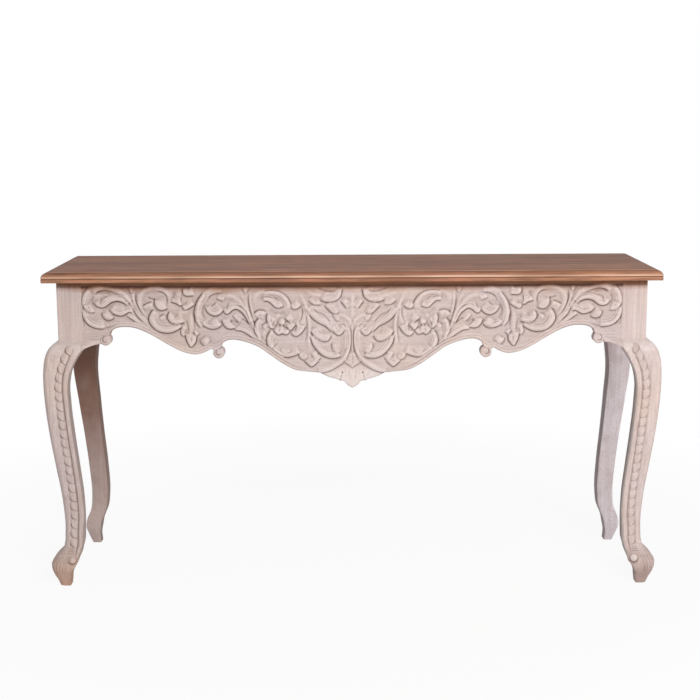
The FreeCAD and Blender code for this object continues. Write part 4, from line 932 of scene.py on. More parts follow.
# Front legs: height, swell beyond the post's face, and width across
LEG_STATIONS = [(0, 16, 27), (15, 21.5, 34), (33, 30.5, 45), (50, 35.5, 59), (62, 35, 63), (70, 30.5, 62),
                (80, 21, 56), (88, 12.5, 49), (95, 8, 46.5), (105, 5.5, 46), (120, 4.5, 46), (149, 3.5, 46),
                (216, 7, 48.6), (303, 17.5, 52), (390, 28, 54.8), (462, 34, 56), (515, 36, 58), (551, 35, 65),
                (580, 31, 76.5), (590, 28, 80.5), (598, 24.5, 83), (606, 18.5, 78.5), (612, 12, 72),
                (618, 0, 60)]
# The lower edge of every leg is eased by this much
FLOOR_EASE = 1.2
# The foot leans forward below this height, by this much at the floor
FOOT_HEIGHT = 110.0
FOOT_FORWARD = 9.0
# Distance of the dark groove from the leg's inner edge, by height
GROOVE_STATIONS = [(0, 6), (60, 7), (72, 8.5), (90, 11), (120, 12), (500, 12.7), (546, 14.5),
                   (576, 17.5), (592, 19), (604, 18), (614, 8), (618, 3)]
GROOVE_DEPTH = 2.4
# Width and depth of the sunk band beside the groove
BAND_WIDTH = 18.0
BAND_DEPTH = 2.0
# The shank is sawn a little wider than its stations, and its inner corner is cut away out of sight
WIDER = 3.5
CUT_AWAY = 3.5
# Painted shade of the inner face at its back and front, painted light at its front, for the left and the
# right leg
INNER_FACE_SHADE = {-1: (0.34, 0.3), 1: (0.6, 0.0)}
INNER_FACE_LIGHT = {-1: 0.0, 1: 0.7}
# Share of the stain that the wash leaves showing in grooves and scallops of the left and the right leg
GROOVE_SHOWN = {-1: 0.85, 1: 0.4}
SCALLOP_SHOWN = {-1: 0.9, 1: 0.75}
# Heights where the shank, the band, the groove beside it and the foot's flutes begin and end, and the run
SHANK_BEGINS, SHANK_ENDS = (125, 60), (600, 40)
BAND_BEGINS, BAND_ENDS = (92, 6), (606, 8)
GROOVE_BEGINS, GROOVE_ENDS = (78, 6), (606, 14)
FLUTES_BEGIN, FLUTES_END = (26, 12), (79, 8)
# How far the legs' faces count as standing out of the top's stain and painted shade
LEG_PROUD = 1.6
# Height and stain of the rings of the post, which has a dark line of stain and painted shadow under the top
POST_RINGS = [(618.4, 0.04), (619.2, 0.04), (640.0, 0.04), (700.0, 0.04), (STAIN_SHADE_HIGH - 4, 0.1),
              (STAIN_SHADE_HIGH, 0.6), (STAIN_SHADE_HIGH + 6, 0.5), (TOP_UNDER, 0.3)]


def leg_swell(z):
    """How far the front leg swells beyond its post's face."""
    return station(LEG_STATIONS, 1, z)


def leg_width(z):
    """Width of the front leg, before its shank is made wider."""
    return station(LEG_STATIONS, 2, z)


def leg_groove(z):
    """Distance of the groove from the leg's inner edge."""
    return station(GROOVE_STATIONS, 1, z)


def shank_share(z):
    """1 along the shank, 0 at the foot and at the knee's top."""
    return float(begins(z, *SHANK_BEGINS) * ends(z, *SHANK_ENDS))


def foot_lean(z):
    """How far the foot leans forward."""
    return FOOT_FORWARD * np.maximum(0.0, 1.0 - z / FOOT_HEIGHT)


def band_share(z):
    """How much of the sunk band shows: all of it between the foot and the knee's top."""
    return float(begins(z, *BAND_BEGINS) * ends(z, *BAND_ENDS))


def line_share(z):
    """How much of the groove beside the band shows: it runs on down to the eye of the foot."""
    return float(begins(z, *GROOVE_BEGINS) * ends(z, *GROOVE_ENDS))


def leg_carving(t, groove, band_part, line_part, shown):
    """Depth below the leg's face and stain, by distance from its inner edge."""
    bead = groove - 1.2
    border = np.where(t < bead, 2.2 * (1 - half_round(t, bead / 2, bead / 2)), 0)
    cut = GROOVE_DEPTH * bell(t, groove, 1.6)
    edge = groove + 1.5 + BAND_WIDTH
    sunk = begins(t, groove + 0.5, 1.5) * (1 - begins(t, edge - 1.5, 2.5))
    depth = np.maximum(line_part * np.maximum(border, cut), band_part * BAND_DEPTH * sunk)
    darkening = 0.75 * shown * line_part * bell(t, groove, 1.5) + 0.15 * band_part * sunk
    return depth, darkening


# Heights of the collar over the foot, and the pitch, depth and stain of its reeds
COLLAR_LOW = 80.5
COLLAR_HIGH = 94.0
REED = 4.3
REED_DEPTH = 0.8
REED_STAIN = 0.4


def collar_cut(z, t, groove):
    """How deep the fine reeds of the collar over the foot are cut, from 0 to 1."""
    share = float(begins(z, COLLAR_LOW, 2) * ends(z, COLLAR_HIGH, 2))
    valley = (0.5 + 0.5 * math.cos(2 * math.pi * (z - COLLAR_LOW - 2.2) / REED)) ** 2
    return share * valley * begins(t, groove + 3, 4)


# Degrees between two flutes of the foot, their depth, and where they end on either side, with the run
FLUTE_TURN = 15.0
FLUTE_DEPTH = 1.6
FLUTES_ROUND = (48, 14)


def foot_flutes(z, turn):
    """How deep the flutes of the foot's bulb are cut, from 0 to 1, by the turn from its outer corner."""
    share = float(begins(z, *FLUTES_BEGIN) * ends(z, *FLUTES_END))
    valley = (0.5 + 0.5 * np.cos(2 * math.pi * turn / FLUTE_TURN)) ** 3
    return share * valley * (1 - begins(np.abs(turn), *FLUTES_ROUND))


# Places across a carved face, by distance from its inner edge, where the groove is this far in
USUAL_GROOVE = 13
FACE_STEPS = np.array([3.0, 4.5, 6.5, 8.5, 10.5, 11.7, 12.4, 13.0, 13.7, 14.5, 15.6, 18, 21, 24, 27, 28.6,
                       29.6, 30.6, 31.6, 33])


def arc(cx, cy, radius, start, end, count):
    """Points of an arc between two angles in degrees."""
    angles = np.radians(np.linspace(start, end, count))
    return cx + radius * np.cos(angles), cy + radius * np.sin(angles)


def leg_ring(z, swell, width, corner, edge, band_part, line_part, inner, shown):
    """Section of the right-hand front leg, counterclockwise from above, and the stain and painted shade round
    it.
    """
    lean = float(foot_lean(z))
    shank = shank_share(z)
    cut = CUT_AWAY * shank
    width = width + WIDER * shank
    x_out = POST_OUT + swell
    x_in = x_out - width
    y_out = POST_FRONT - swell - lean
    y_in = y_out + width
    groove = float(leg_groove(z))
    steps = np.where(FACE_STEPS <= USUAL_GROOVE, FACE_STEPS * groove / USUAL_GROOVE,
                     FACE_STEPS - USUAL_GROOVE + groove)
    room = width - corner
    steps = steps * min(1.0, room / steps[-1])
    steps = np.concatenate([steps, np.linspace(steps[-1], room, 5)[1:-1]])
    depth, darkening = leg_carving(steps, groove, band_part, line_part, shown)
    reeds = collar_cut(z, steps, groove)
    depth = depth + REED_DEPTH * reeds
    darkening = darkening + REED_STAIN * reeds
    xs, ys, dark = [], [], []

    def extend(px, py, marks=0.0):
        xs.extend(np.ravel(px))
        ys.extend(np.ravel(py))
        dark.extend(np.ravel(np.zeros_like(px) + marks))

    # Inner edge, front face, outer corner, outer face, back edge, back, cut inner corner and inner face
    extend(*arc(x_in + edge, y_out + edge, edge, 180, 262, 4), np.linspace(inner[1], 0, 4))
    extend(x_in + steps, y_out + depth, darkening)
    extend(*arc(x_out - corner, y_out + corner, corner, -90, 0, 21))
    extend((x_out - depth)[::-1], (y_in - steps)[::-1], darkening[::-1])
    extend(*arc(x_out - edge, y_in - edge, edge, 8, 90, 4))
    extend(np.linspace(x_out - edge, x_in + cut + edge, 7)[1:-1], np.linspace(y_in, y_in - cut, 7)[1:-1])
    extend(*arc(x_in + cut + edge, y_in - cut - edge, edge, 90, 180, 5), inner[0])
    extend(np.linspace(x_in + cut, x_in, 7)[1:-1], np.linspace(y_in - cut - edge, y_out + edge, 7)[1:-1],
           np.linspace(*inner, 5))
    from_middle = np.stack([xs, ys], 1) - (x_out - width / 2, y_out + width / 2)
    flutes = foot_flutes(z, np.degrees(np.arctan2(from_middle[:, 1], from_middle[:, 0])) + 45)
    reach = np.hypot(from_middle[:, 0], from_middle[:, 1])
    cut_in = from_middle * (-FLUTE_DEPTH * flutes / reach)[:, None]
    ring = np.column_stack([xs + cut_in[:, 0], ys + cut_in[:, 1], np.full(len(xs), z)])
    return ring, dark + 0.3 * flutes


def front_leg(side, name):
    """Front leg: square post, knee, shank with a sunk band on both outer faces, and scroll foot."""
    rings = []
    ring_darkening = []
    # Levels are closest together at the collar over the foot
    levels = np.concatenate([[0.0, 1.2], np.arange(3.0, 79.0, 2.2), np.arange(79.0, 96.0, 0.7),
                             np.arange(97.0, 616.0, 2.2), [616.2, 617.4]])
    for z in levels:
        width = float(leg_width(z))
        # The outer corner is rounder on the bulb of the foot, and sharp where the post begins
        bulb = float(1 - begins(z, 84, 20))
        corner = (1 - bulb) * min(13.0, 0.3 * width) + bulb * 0.4 * width
        corner *= 1 - 0.85 * float(begins(z, 596, 22))
        swell = float(leg_swell(z))
        if z < 1.0:
            width -= 2 * FLOOR_EASE
            swell -= FLOOR_EASE
        ring, dark = leg_ring(z, swell, width, corner, min(3.2, 0.2 * width), band_share(z), line_share(z),
                              INNER_FACE_SHADE[side], GROOVE_SHOWN[side])
        rings.append(ring)
        ring_darkening.append(dark)
    for z, mark in POST_RINGS:
        ring, dark = leg_ring(z, 0.0, POST_WIDTH, 1.0, 1.0, 0.0, 0.0, (0.0, 0.0), 0.0)
        rings.append(ring)
        ring_darkening.append([mark] * len(dark))
    around = len(rings[0])
    points = np.vstack(rings)
    faces = capped_rings(len(rings), around)
    darkening = np.concatenate(ring_darkening)
    # Painted highlight on the knee's top, and painted light on the front edge of the right leg's inner face
    heights = points[:, 2]
    pale = 0.3 * begins(heights, 585, 15) * ends(heights, 619, 2)
    inner_face = np.zeros(around)
    inner_face[-5:] = INNER_FACE_LIGHT[side] * np.linspace(0, 1, 5)
    inner_face[:3] = INNER_FACE_LIGHT[side] * np.array([1.0, 0.7, 0.3])
    pale = np.maximum(pale, np.tile(inner_face, len(rings)) * ends(heights, 600, 20))
    eye_points, eye_faces, eye_darkening, eye_pale = foot_eye(len(points), EYE_SIZE[side])
    points = np.vstack([points, eye_points])
    faces += eye_faces
    darkening = np.concatenate([darkening, eye_darkening])
    pale = np.concatenate([pale, eye_pale])
    points[:, 0] *= side
    material = washed_left_leg if side < 0 else washed_right_leg
    return new_piece(name + "_carved_leg", points, faces, material, "washed_wood", [name + "_leg"], 50.0,
                     crevice=darkening, pale=pale, proud=np.full(len(points), LEG_PROUD))


# Middle of the foot's eye: height, reach from the inner edge, and how far it stands before the face
EYE_HEIGHT = 70.0
EYE_REACH = 11.0
EYE_PROUD = 3.6
# Size and wash of the eye on the left and the right foot
EYE_SIZE = {-1: (1.0, 0.2), 1: (1.2, 0.6)}
EYE_SPOKES = 32
# The eye faces the front, a little inwards and up
EYE_FACING = (-0.18, -1.0, 0.35)
# Outline of the eye: distance from its axis, height above the foot's face, and stain with painted shade
EYE_OUTLINE = [(0.4, 5.0, 0), (3.5, 4.7, 0), (6, 3.9, 0), (7.6, 2.6, 0.15), (8.3, 1.2, 0.8), (9.2, 0.7, 1),
               (10.1, 1.2, 0.8), (11.0, 1.5, 0.15), (11.9, 1.0, 0.1), (12.3, -11, 0.5)]


def foot_eye(first, size_and_wash):
    """Ringed button at the middle of the scroll, on the front of the right-hand foot."""
    size, wash = size_and_wash
    swell = float(leg_swell(EYE_HEIGHT))
    x_in = POST_OUT + swell - float(leg_width(EYE_HEIGHT))
    y_out = POST_FRONT - swell - float(foot_lean(EYE_HEIGHT))
    centre = np.array([x_in + EYE_REACH, y_out - EYE_PROUD, EYE_HEIGHT])
    out = np.array(EYE_FACING)
    out = out / np.linalg.norm(out)
    across = np.cross((0.0, 0.0, 1.0), out)
    across = across / np.linalg.norm(across)
    up = np.cross(out, across)
    points, darkening, pale = [], [], []
    for radius, height, dark in EYE_OUTLINE:
        for angle in np.linspace(0, 2 * math.pi, EYE_SPOKES, endpoint=False):
            spoke = across * math.cos(angle) + up * math.sin(angle)
            points.append(centre + out * height + size * radius * spoke)
            # Painted shade: the eye is darker on its lower side
            darkening.append(dark * (0.55 - 0.45 * math.sin(angle)))
            pale.append(wash if dark < 0.1 else 0.0)
    return np.array(points), capped_rings(len(EYE_OUTLINE), EYE_SPOKES, first), darkening, pale


# Back legs: height, swell beyond the post's face, width across and depth
BACK_STATIONS = [(0, -3, 23, 28), (27.5, 7.5, 31.3, 37), (46, 12.5, 39.5, 46), (64, 11, 41.5, 46),
                 (99, -2.6, 41.5, 46), (137.5, -6.5, 42.5, 46), (216, -2.2, 44.8, 46), (312, 8, 47, 46),
                 (399, 18.5, 51.5, 50), (515, 30, 60, 54), (568, 27.6, 68, 54), (600, 17.4, 77.4, 54),
                 (618, 0, 60, 54)]
BACK_FACE = 192.0
# Depth of the shank and of the post, and the round of their corners
BACK_SHANK_DEPTH = 46
BACK_POST_DEPTH = 54.0
BACK_ROUND = 2.6
# Share of the painted shade round the leg: all of it on the front and inner faces
PAINTED_SHADE_SHARES = [1.0] * 7 + [0.6, 0.3, 0.2] + [0.2] * 6 + [0.3, 0.6, 1.0, 1.0]
# Painted shade round the leg: its inner face, away from the light, is darker
BACK_INNER_SHADE = [0.5, 0.4, 0.15] + [0.0] * 14 + [0.15, 0.4, 0.5]


def back_leg(side, name, material):
    """Back leg: plain and square in section, curved along the table only."""
    rings, bare, darkening = [], [], []
    r = BACK_ROUND
    levels = np.concatenate([[0.0, 1.5], np.arange(5.0, 618.0, 5.0), [618.5, 640.0, 750.0, TOP_UNDER]])
    for z in levels:
        swell, width, depth = [float(station(BACK_STATIONS, column, z)) for column in (1, 2, 3)]
        if z > KNEE_TOP:
            swell, width, depth = 0.0, POST_WIDTH, BACK_POST_DEPTH
        ease_in = FLOOR_EASE if z < 1.0 else 0.0
        x_out = POST_OUT + swell - ease_in
        x_in = POST_OUT + swell - width + ease_in
        y_back = BACK_FACE - max(0.0, (BACK_SHANK_DEPTH - depth) / 2) - ease_in
        y_front = y_back - depth + 2 * ease_in
        parts = [arc(x_in + r, y_front + r, r, 180, 270, 5), arc(x_out - r, y_front + r, r, -90, 0, 5),
                 arc(x_out - r, y_back - r, r, 0, 90, 5), arc(x_in + r, y_back - r, r, 90, 180, 5)]
        bare.extend(PAINTED_SHADE_SHARES)
        darkening.extend(BACK_INNER_SHADE)
        x = np.concatenate([p[0] for p in parts])
        y = np.concatenate([p[1] for p in parts])
        rings.append(np.stack([side * x, y, np.full(len(x), z)], 1))
    faces = capped_rings(len(rings), len(rings[0]))
    return new_piece(name + "_shaped_leg", np.vstack(rings), faces, material, "washed_wood",
                     [name + "_leg"], 50.0, bare=bare, crevice=darkening)


for side, hand, material in ((-1, "left", shaded_left_back_leg), (1, "right", lit_right_back_leg)):
    front_leg(side, "front_" + hand)
    back_leg(side, "back_" + hand, material)


# Knee blocks: ears that carry the swell of a knee into the face of an apron

# Lower line of an ear: distance from the leg, and height from the knee's top
EAR_LOWER = [(0, -19.5), (8, -15.5), (17, -12.3), (30, -9.4), (43, -7.5)]
# The swell of the knee dies away over this length, and the lower edge is rounded by this radius
EAR_RUN = 36
EAR_ROUND = 2.4


def knee_ear(name, start, along, outward, thick, swell_at, material):
    """Ear from its top corner at the leg, along the apron: the swell dies away towards its tip."""
    line = smooth_line(EAR_LOWER)
    columns = np.linspace(0, EAR_LOWER[-1][0], 23)
    low = np.interp(columns, line[:, 0], line[:, 1])
    rounds = np.array([0, 0.4, 1.2, 2.4])
    start, along, outward = np.array(start), np.array(along), np.array(outward)
    rows = []
    for distance, drop in zip(columns, low):
        heights = np.concatenate([drop + rounds, np.linspace(drop + 4, 0, 10)])
        swell = swell_at(KNEE_TOP + heights) * (1 - ease(distance / EAR_RUN))
        swell = swell - turned_edge(heights - drop, EAR_ROUND)
        spot = start + along * distance
        behind = spot - outward * thick
        loop = [spot + outward * s + np.array([0, 0, h]) for s, h in zip(swell, heights)]
        rows.append(np.array(loop + [behind, behind + np.array([0, 0, drop])]))
    faces = capped_rings(len(rows), len(rows[0]))
    return new_piece(name.replace("block", "ear"), np.vstack(rows), faces, material, "washed_wood", [name])


def back_swell(z):
    """How far the back leg swells beyond its post's face."""
    return station(BACK_STATIONS, 1, z)


BACK_POST_IN = node_box("side_back_right_knee_block")[1][1]
FRONT_POST_IN = node_box("side_front_right_knee_block")[0][1]
SIDE_THICK = 22.0
for side, hand in ((-1, "left"), (1, "right")):
    knee_ear("front_" + hand + "_knee_block", (side * POST_IN, APRON_FACE, KNEE_TOP), (-side, 0, 0),
             (0, -1, 0), APRON_BACK - APRON_FACE, leg_swell, washed_apron)
    knee_ear("side_front_" + hand + "_knee_block", (side * SIDE_FACE, FRONT_POST_IN, KNEE_TOP), (0, 1, 0),
             (side, 0, 0), SIDE_THICK, leg_swell, washed_side)
    knee_ear("side_back_" + hand + "_knee_block", (side * SIDE_FACE, BACK_POST_IN, KNEE_TOP), (0, -1, 0),
             (side, 0, 0), SIDE_THICK, back_swell, washed_side)


# Scallops: overlapping tongues laid down the sunk band of each front leg

SCALLOP_PITCH = 23.5
SCALLOP_WIDTH = 19.0
# A scallop's flat underside lies this far below its place, and its place this far below the leg's face
SCALLOP_UNDER = 2.4
SCALLOP_BED = 2.4
# Rows of a scallop, tucked top to lip: place along the band, outer reach, height, stain and painted shade
SCALLOP_ROWS = [(15.0, 0.30, 0.4, 0.3), (11.6, 0.62, 1.2, 0.3), (8.5, 0.84, 2.0, 0.3), (4.5, 0.98, 3.0, 0.4),
                (0.5, 1.0, 3.8, 0.6), (-3.0, 0.92, 4.3, 0.9), (-6.0, 0.76, 4.6, 1.0), (-8.4, 0.5, 4.6, 1.0),
                (-10.2, 0.14, 4.4, 1.0), (-11.4, -0.3, 4.0, 1.0), (-11.9, -0.62, 3.6, 1.0)]
# Columns from the groove's side to the outer side, with the share of the stain and painted shade each takes
SCALLOP_COLUMNS = [(-1.0, 0.3), (-0.84, 0.05), (-0.45, 0.0), (0.0, 0.0), (0.45, 0.08), (0.84, 0.6),
                   (1.0, 1.0)]
# Heights between which the chains of scallops run, on the front and on the outer side
CHAIN_HIGH_FRONT = 599.0
CHAIN_HIGH_SIDE = 588.0
CHAIN_LOW = 105.0
# The first scallop of a chain is wider and shorter: its width and length
FIRST_SCALLOP = (1.1, 0.95)
# Stain and painted shade of the last two rows, all across
LIP_STAIN_AND_SHADE = {0: 1.0, 1: 0.45}
# Half width on the groove's side, where a scallop is straight
STRAIGHT_SIDE = 0.88


def scallop_tile():
    """One tongue: domed across, rising to a rounded lip, with stain and painted shade round its lip and outer
    side.
    """
    points, darkening = [], []
    half = SCALLOP_WIDTH / 2
    wide = len(SCALLOP_COLUMNS)
    tall = len(SCALLOP_ROWS)
    for row, (along, share, height, dark) in enumerate(SCALLOP_ROWS):
        for column, part in SCALLOP_COLUMNS:
            dome = 0.4 + 0.6 * math.sqrt(1 - 0.96 * column**2)
            inner = -STRAIGHT_SIDE if along < 6 else -share
            points.append((half * (inner + (share - inner) * (column + 1) / 2), along, height * dome))
            lip = LIP_STAIN_AND_SHADE.get(tall - 1 - row)
            darkening.append(dark * part if lip is None else lip * (0.75 - 0.25 * column))
    faces = []
    for row in range(tall - 1):
        for k in range(wide - 1):
            a = row * wide + k
            faces.append((a, a + wide, a + wide + 1, a + 1))
    rim = list(range(wide)) + [r * wide + wide - 1 for r in range(1, tall)]
    rim += [(tall - 1) * wide + k for k in range(wide - 2, -1, -1)]
    rim += [r * wide for r in range(tall - 2, 0, -1)]
    first = len(points)
    for index in rim:
        points.append((points[index][0], points[index][1], -SCALLOP_UNDER))
        darkening.append(SCALLOP_ROWS[index // wide][3])
    for k in range(len(rim)):
        after = (k + 1) % len(rim)
        faces.append((rim[k], rim[after], first + after, first + k))
    faces.append(tuple(range(first, first + len(rim))))
    mesh = bpy.data.meshes.new("scallop_tile")
    mesh.from_pydata((np.array(points) * MM).tolist(), [], faces)
    mark_points(mesh, "crevice", darkening)
    return bpy.data.objects.new("scallop_tile", mesh)


def scallop_tree():
    """Geometry Nodes: one tongue on each point, turned and mirrored as the point says."""
    tree = bpy.data.node_groups.new("overlapping scallops", "GeometryNodeTree")
    tree.interface.new_socket("Geometry", in_out="INPUT", socket_type="NodeSocketGeometry")
    tree.interface.new_socket("Tongue", in_out="INPUT", socket_type="NodeSocketObject")
    tree.interface.new_socket("Wood", in_out="INPUT", socket_type="NodeSocketMaterial")
    tree.interface.new_socket("Geometry", in_out="OUTPUT", socket_type="NodeSocketGeometry")
    given = add(tree, "NodeGroupInput")
    tongue = add(tree, "GeometryNodeObjectInfo", {"Object": given.outputs["Tongue"]})
    turn = add(tree, "GeometryNodeInputNamedAttribute", {"Name": "turn"}, data_type="FLOAT_VECTOR")
    size_at = add(tree, "GeometryNodeInputNamedAttribute", {"Name": "hand"}, data_type="FLOAT_VECTOR")
    spread = add(tree, "GeometryNodeInstanceOnPoints", {"Points": given.outputs["Geometry"],
                                                        "Instance": tongue.outputs["Geometry"],
                                                        "Rotation": turn.outputs[0],
                                                        "Scale": size_at.outputs[0]})
    real = add(tree, "GeometryNodeRealizeInstances", {"Geometry": spread.outputs[0]})
    painted = add(tree, "GeometryNodeSetMaterial", {"Geometry": real.outputs[0],
                                                    "Material": given.outputs["Wood"]})
    add(tree, "NodeGroupOutput", {"Geometry": painted.outputs[0]})
    return tree


def band_place(z, on_side):
    """Middle of the sunk band at a height, on the front or the outer side of the right-hand leg."""
    swell = float(leg_swell(z))
    width = float(leg_width(z)) + WIDER * shank_share(z)
    reach = float(leg_groove(z)) + 1.2 + BAND_WIDTH / 2
    x_out = POST_OUT + swell
    y_out = POST_FRONT - swell - float(foot_lean(z))
    if on_side:
        return Vector((x_out - SCALLOP_BED, y_out + width - reach, z))
    return Vector((x_out - width + reach, y_out + SCALLOP_BED, z))


def scallop_points():
    """Places, turns and mirrorings of every scallop on the four carved faces."""
    places, turns, hands = [], [], []
    for side in (-1, 1):
        for on_side in (False, True):
            high = CHAIN_HIGH_SIDE if on_side else CHAIN_HIGH_FRONT
            line = [band_place(z, on_side) for z in np.arange(high, CHAIN_LOW, -0.5)]
            length = sum((b - a).length for a, b in zip(line, line[1:]))
            pitch = length / round(length / SCALLOP_PITCH) - 0.02
            travel = pitch
            for k in range(1, len(line)):
                travel += (line[k] - line[k - 1]).length
                if travel < pitch:
                    continue
                travel -= pitch
                size = FIRST_SCALLOP if k == 1 else (1.0, 1.0)
                up = (line[k - 1] - line[k]).normalized()
                out = Vector((1, 0, 0)) if on_side else Vector((0, -1, 0))
                out = (out - up * out.dot(up)).normalized()
                place_at = line[k].copy()
                if side < 0:
                    place_at.x, up.x, out.x = -place_at.x, -up.x, -out.x
                across = up.cross(out).normalized()
                places.append(place_at * MM)
                turns.append(Matrix((across, up, out)).transposed().to_euler())
                hands.append(((-side if on_side else side) * size[0], size[1], 1))
    return places, turns, hands


def leg_scallops():
    """All the scallops as one mesh, spread by Geometry Nodes and then made plain."""
    places, turns, hands = scallop_points()
    mesh = bpy.data.meshes.new("leg_scallops")
    mesh.from_pydata([tuple(p) for p in places], [], [])
    mark_points(mesh, "turn", [tuple(turn) for turn in turns], "FLOAT_VECTOR")
    mark_points(mesh, "hand", hands, "FLOAT_VECTOR")
    piece = bpy.data.objects.new("leg_scallops", mesh)
    tile = scallop_tile()
    bpy.context.scene.collection.objects.link(piece)
    bpy.context.scene.collection.objects.link(tile)
    spread = piece.modifiers.new("scallops", "NODES")
    tree = scallop_tree()
    spread.node_group = tree
    sockets = {item.name: item.identifier for item in tree.interface.items_tree if item.in_out == "INPUT"}
    spread[sockets["Tongue"]] = tile
    spread[sockets["Wood"]] = washed_right_leg
    bpy.context.view_layer.update()
    seen = piece.evaluated_get(bpy.context.evaluated_depsgraph_get())
    finished = bpy.data.meshes.new_from_object(seen)
    bpy.data.objects.remove(piece)
    bpy.data.objects.remove(tile)
    close_shell(finished, 0.000001)
    mark = finished.attributes["crevice"].data
    for vertex in finished.vertices:
        mark[vertex.index].value *= SCALLOP_SHOWN[1 if vertex.co.x > 0 else -1]
    return place("carved_leg_scallops", finished, washed_right_leg)


leg_scallops()


# Top: three boards glued edge to edge, moulded at the front and the ends

# The moulding: its step, how far in and how deep, the size of its ovolo, its lower round and its edge
STEP_IN = 17.0
STEP_DROP = 1.5
OVOLO_IN = 15.0
OVOLO_HIGH = 13.0
NOSE = 2.5
EDGE_IN = 0.4
# Ends of the top: dark with end-grain stain and painted shade, and moulded this share as far in as the front
END_STAIN_AND_SHADE = 0.9
END_SHARE = 0.7
# Half of the hair line between two boards, and the width of the dark corner at each end
HAIR = 0.15
CORNER = 1.5


def edge_moulding():
    """Outline of the moulded edge, from the underside to the face: distance in, height, darkness and
    paleness.
    """
    outline = []
    for angle in np.radians(np.linspace(270, 180, 7)):
        outline.append((NOSE + EDGE_IN + NOSE * math.cos(angle), TOP_UNDER + NOSE + NOSE * math.sin(angle),
                        0.0, 0.14))
    shoulder = TOP_FACE - STEP_DROP
    low = shoulder - OVOLO_HIGH
    outline.append((EDGE_IN, low - 1.9, 0.0, 0.2))
    # Stain with painted shade in the quirk under the ovolo
    outline.append((0.9, low - 1.3, 0.6, 0.0))
    outline.append((1.5, low - 0.7, 0.9, 0.0))
    outline.append((0.7, low - 0.1, 0.4, 0.2))
    # Ovolo: painted highlight low on it, painted shade high on it by the step
    for angle in range(176, 89, -6):
        wear_and_highlight = 0.14 + 0.75 * bell(angle, 168, 11)
        dark = 0.55 * float(ends(angle, 118, 20))
        turn = math.radians(angle)
        outline.append((OVOLO_IN + OVOLO_IN * math.cos(turn), low + OVOLO_HIGH * math.sin(turn), dark, wear_and_highlight))
    # Painted shade at the foot of the step, and painted highlight on its arris
    outline.append((STEP_IN - 0.2, shoulder, 0.6, 0.0))
    outline.append((STEP_IN, shoulder + 0.3, 0.1, 0.35))
    outline.append((STEP_IN + 0.1, TOP_FACE - 0.3, 0.0, 0.4))
    outline.append((STEP_IN + 0.5, TOP_FACE, 0.0, 0.3))
    outline.append((STEP_IN + 5.0, TOP_FACE, 0.0, 0.0))
    return outline


def top_board(name, front, back):
    """One board between two seams: the front one is moulded along its front as well as its ends."""
    outline = edge_moulding()
    at_front = abs(front - TOP_FRONT) < 0.1
    points, darkening, wear_and_highlight = [], [], []
    for inset, z, dark, pale_mark in outline:
        x = TOP_HALF - END_SHARE * inset
        y_front = front + inset if at_front else front + HAIR
        y_back = back - (0.0 if abs(back - TOP_BACK) < 0.1 else HAIR)
        end = max(dark, END_STAIN_AND_SHADE if inset < STEP_IN + 1 else 0.0)
        for px, py, at_end in ((-x, y_back, True), (-x, y_front, True), (CORNER - x, y_front, False),
                               (x - CORNER, y_front, False), (x, y_front, True), (x, y_back, True)):
            points.append((px, py, z))
            darkening.append(end if at_end else dark)
            wear_and_highlight.append(0.2 * pale_mark if at_end else pale_mark)
    faces = capped_rings(len(outline), len(points) // len(outline))
    return new_piece(name.replace("top_board", "moulded_top_board"), points, faces, brown_top, "stained_top",
                     [name], 35.0, crevice=darkening, pale=wear_and_highlight)


top_board("top_board_front", TOP_FRONT, SEAM_FRONT)
top_board("top_board_middle", SEAM_FRONT, SEAM_BACK)
top_board("top_board_back", SEAM_BACK, TOP_BACK)


# Plain frame pieces: the CAD shapes with their sharp edges eased

def eased(node, width, material):
    """A copy of a CAD node with small rounds on its edges."""
    shell = bmesh.new()
    shell.from_mesh(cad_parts[node].data)
    bmesh.ops.remove_doubles(shell, verts=shell.verts, dist=0.00002)
    bmesh.ops.dissolve_limit(shell, angle_limit=math.radians(1.0), verts=shell.verts, edges=shell.edges)
    bmesh.ops.recalc_face_normals(shell, faces=shell.faces)
    mesh = bpy.data.meshes.new("eased_" + node)
    shell.to_mesh(mesh)
    shell.free()
    piece = place("eased_" + node, mesh, material, [node], 35.0)
    rounding = piece.modifiers.new("eased edges", "BEVEL")
    rounding.width = width * MM
    rounding.segments = 2
    rounding.limit_method = "ANGLE"
    rounding.angle_limit = math.radians(40)
    rounding.use_clamp_overlap = True
    return piece


for hand in ("left", "right"):
    eased(hand + "_side_apron", 1.5, washed_side)
    eased(hand + "_cross_bearer", 1.0, bare_cross)
    eased(hand + "_side_button", 0.8, bare_long)
    for end in ("front", "back"):
        eased(end + "_" + hand + "_corner_block", 1.0, bare_upright)
eased("back_apron", 1.5, washed_apron)
for end in ("front", "back"):
    for spot in ("left", "middle", "right"):
        eased(end + "_button_" + spot, 0.8, bare_cross)


# CAD nodes that stay as they are

for node, material in (("top_dowels", bare_cross), ("button_screws", zinc), ("bearer_screws", zinc),
                       ("corner_block_screws", zinc)):
    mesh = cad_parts[node].data
    mesh.materials.clear()
    mesh.materials.append(material)


# Floor, light and camera

def seen_by_camera(tree):
    """Nodes that give 1 where the camera looks, straight on, in a reflection or through glass."""
    path = add(tree, "ShaderNodeLightPath")
    seen = add(tree, "ShaderNodeMath", {0: path.outputs["Is Camera Ray"], 1: path.outputs["Is Glossy Ray"]},
               operation="MAXIMUM")
    return add(tree, "ShaderNodeMath", {0: seen.outputs[0], 1: path.outputs["Is Transmission Ray"]},
               operation="MAXIMUM")


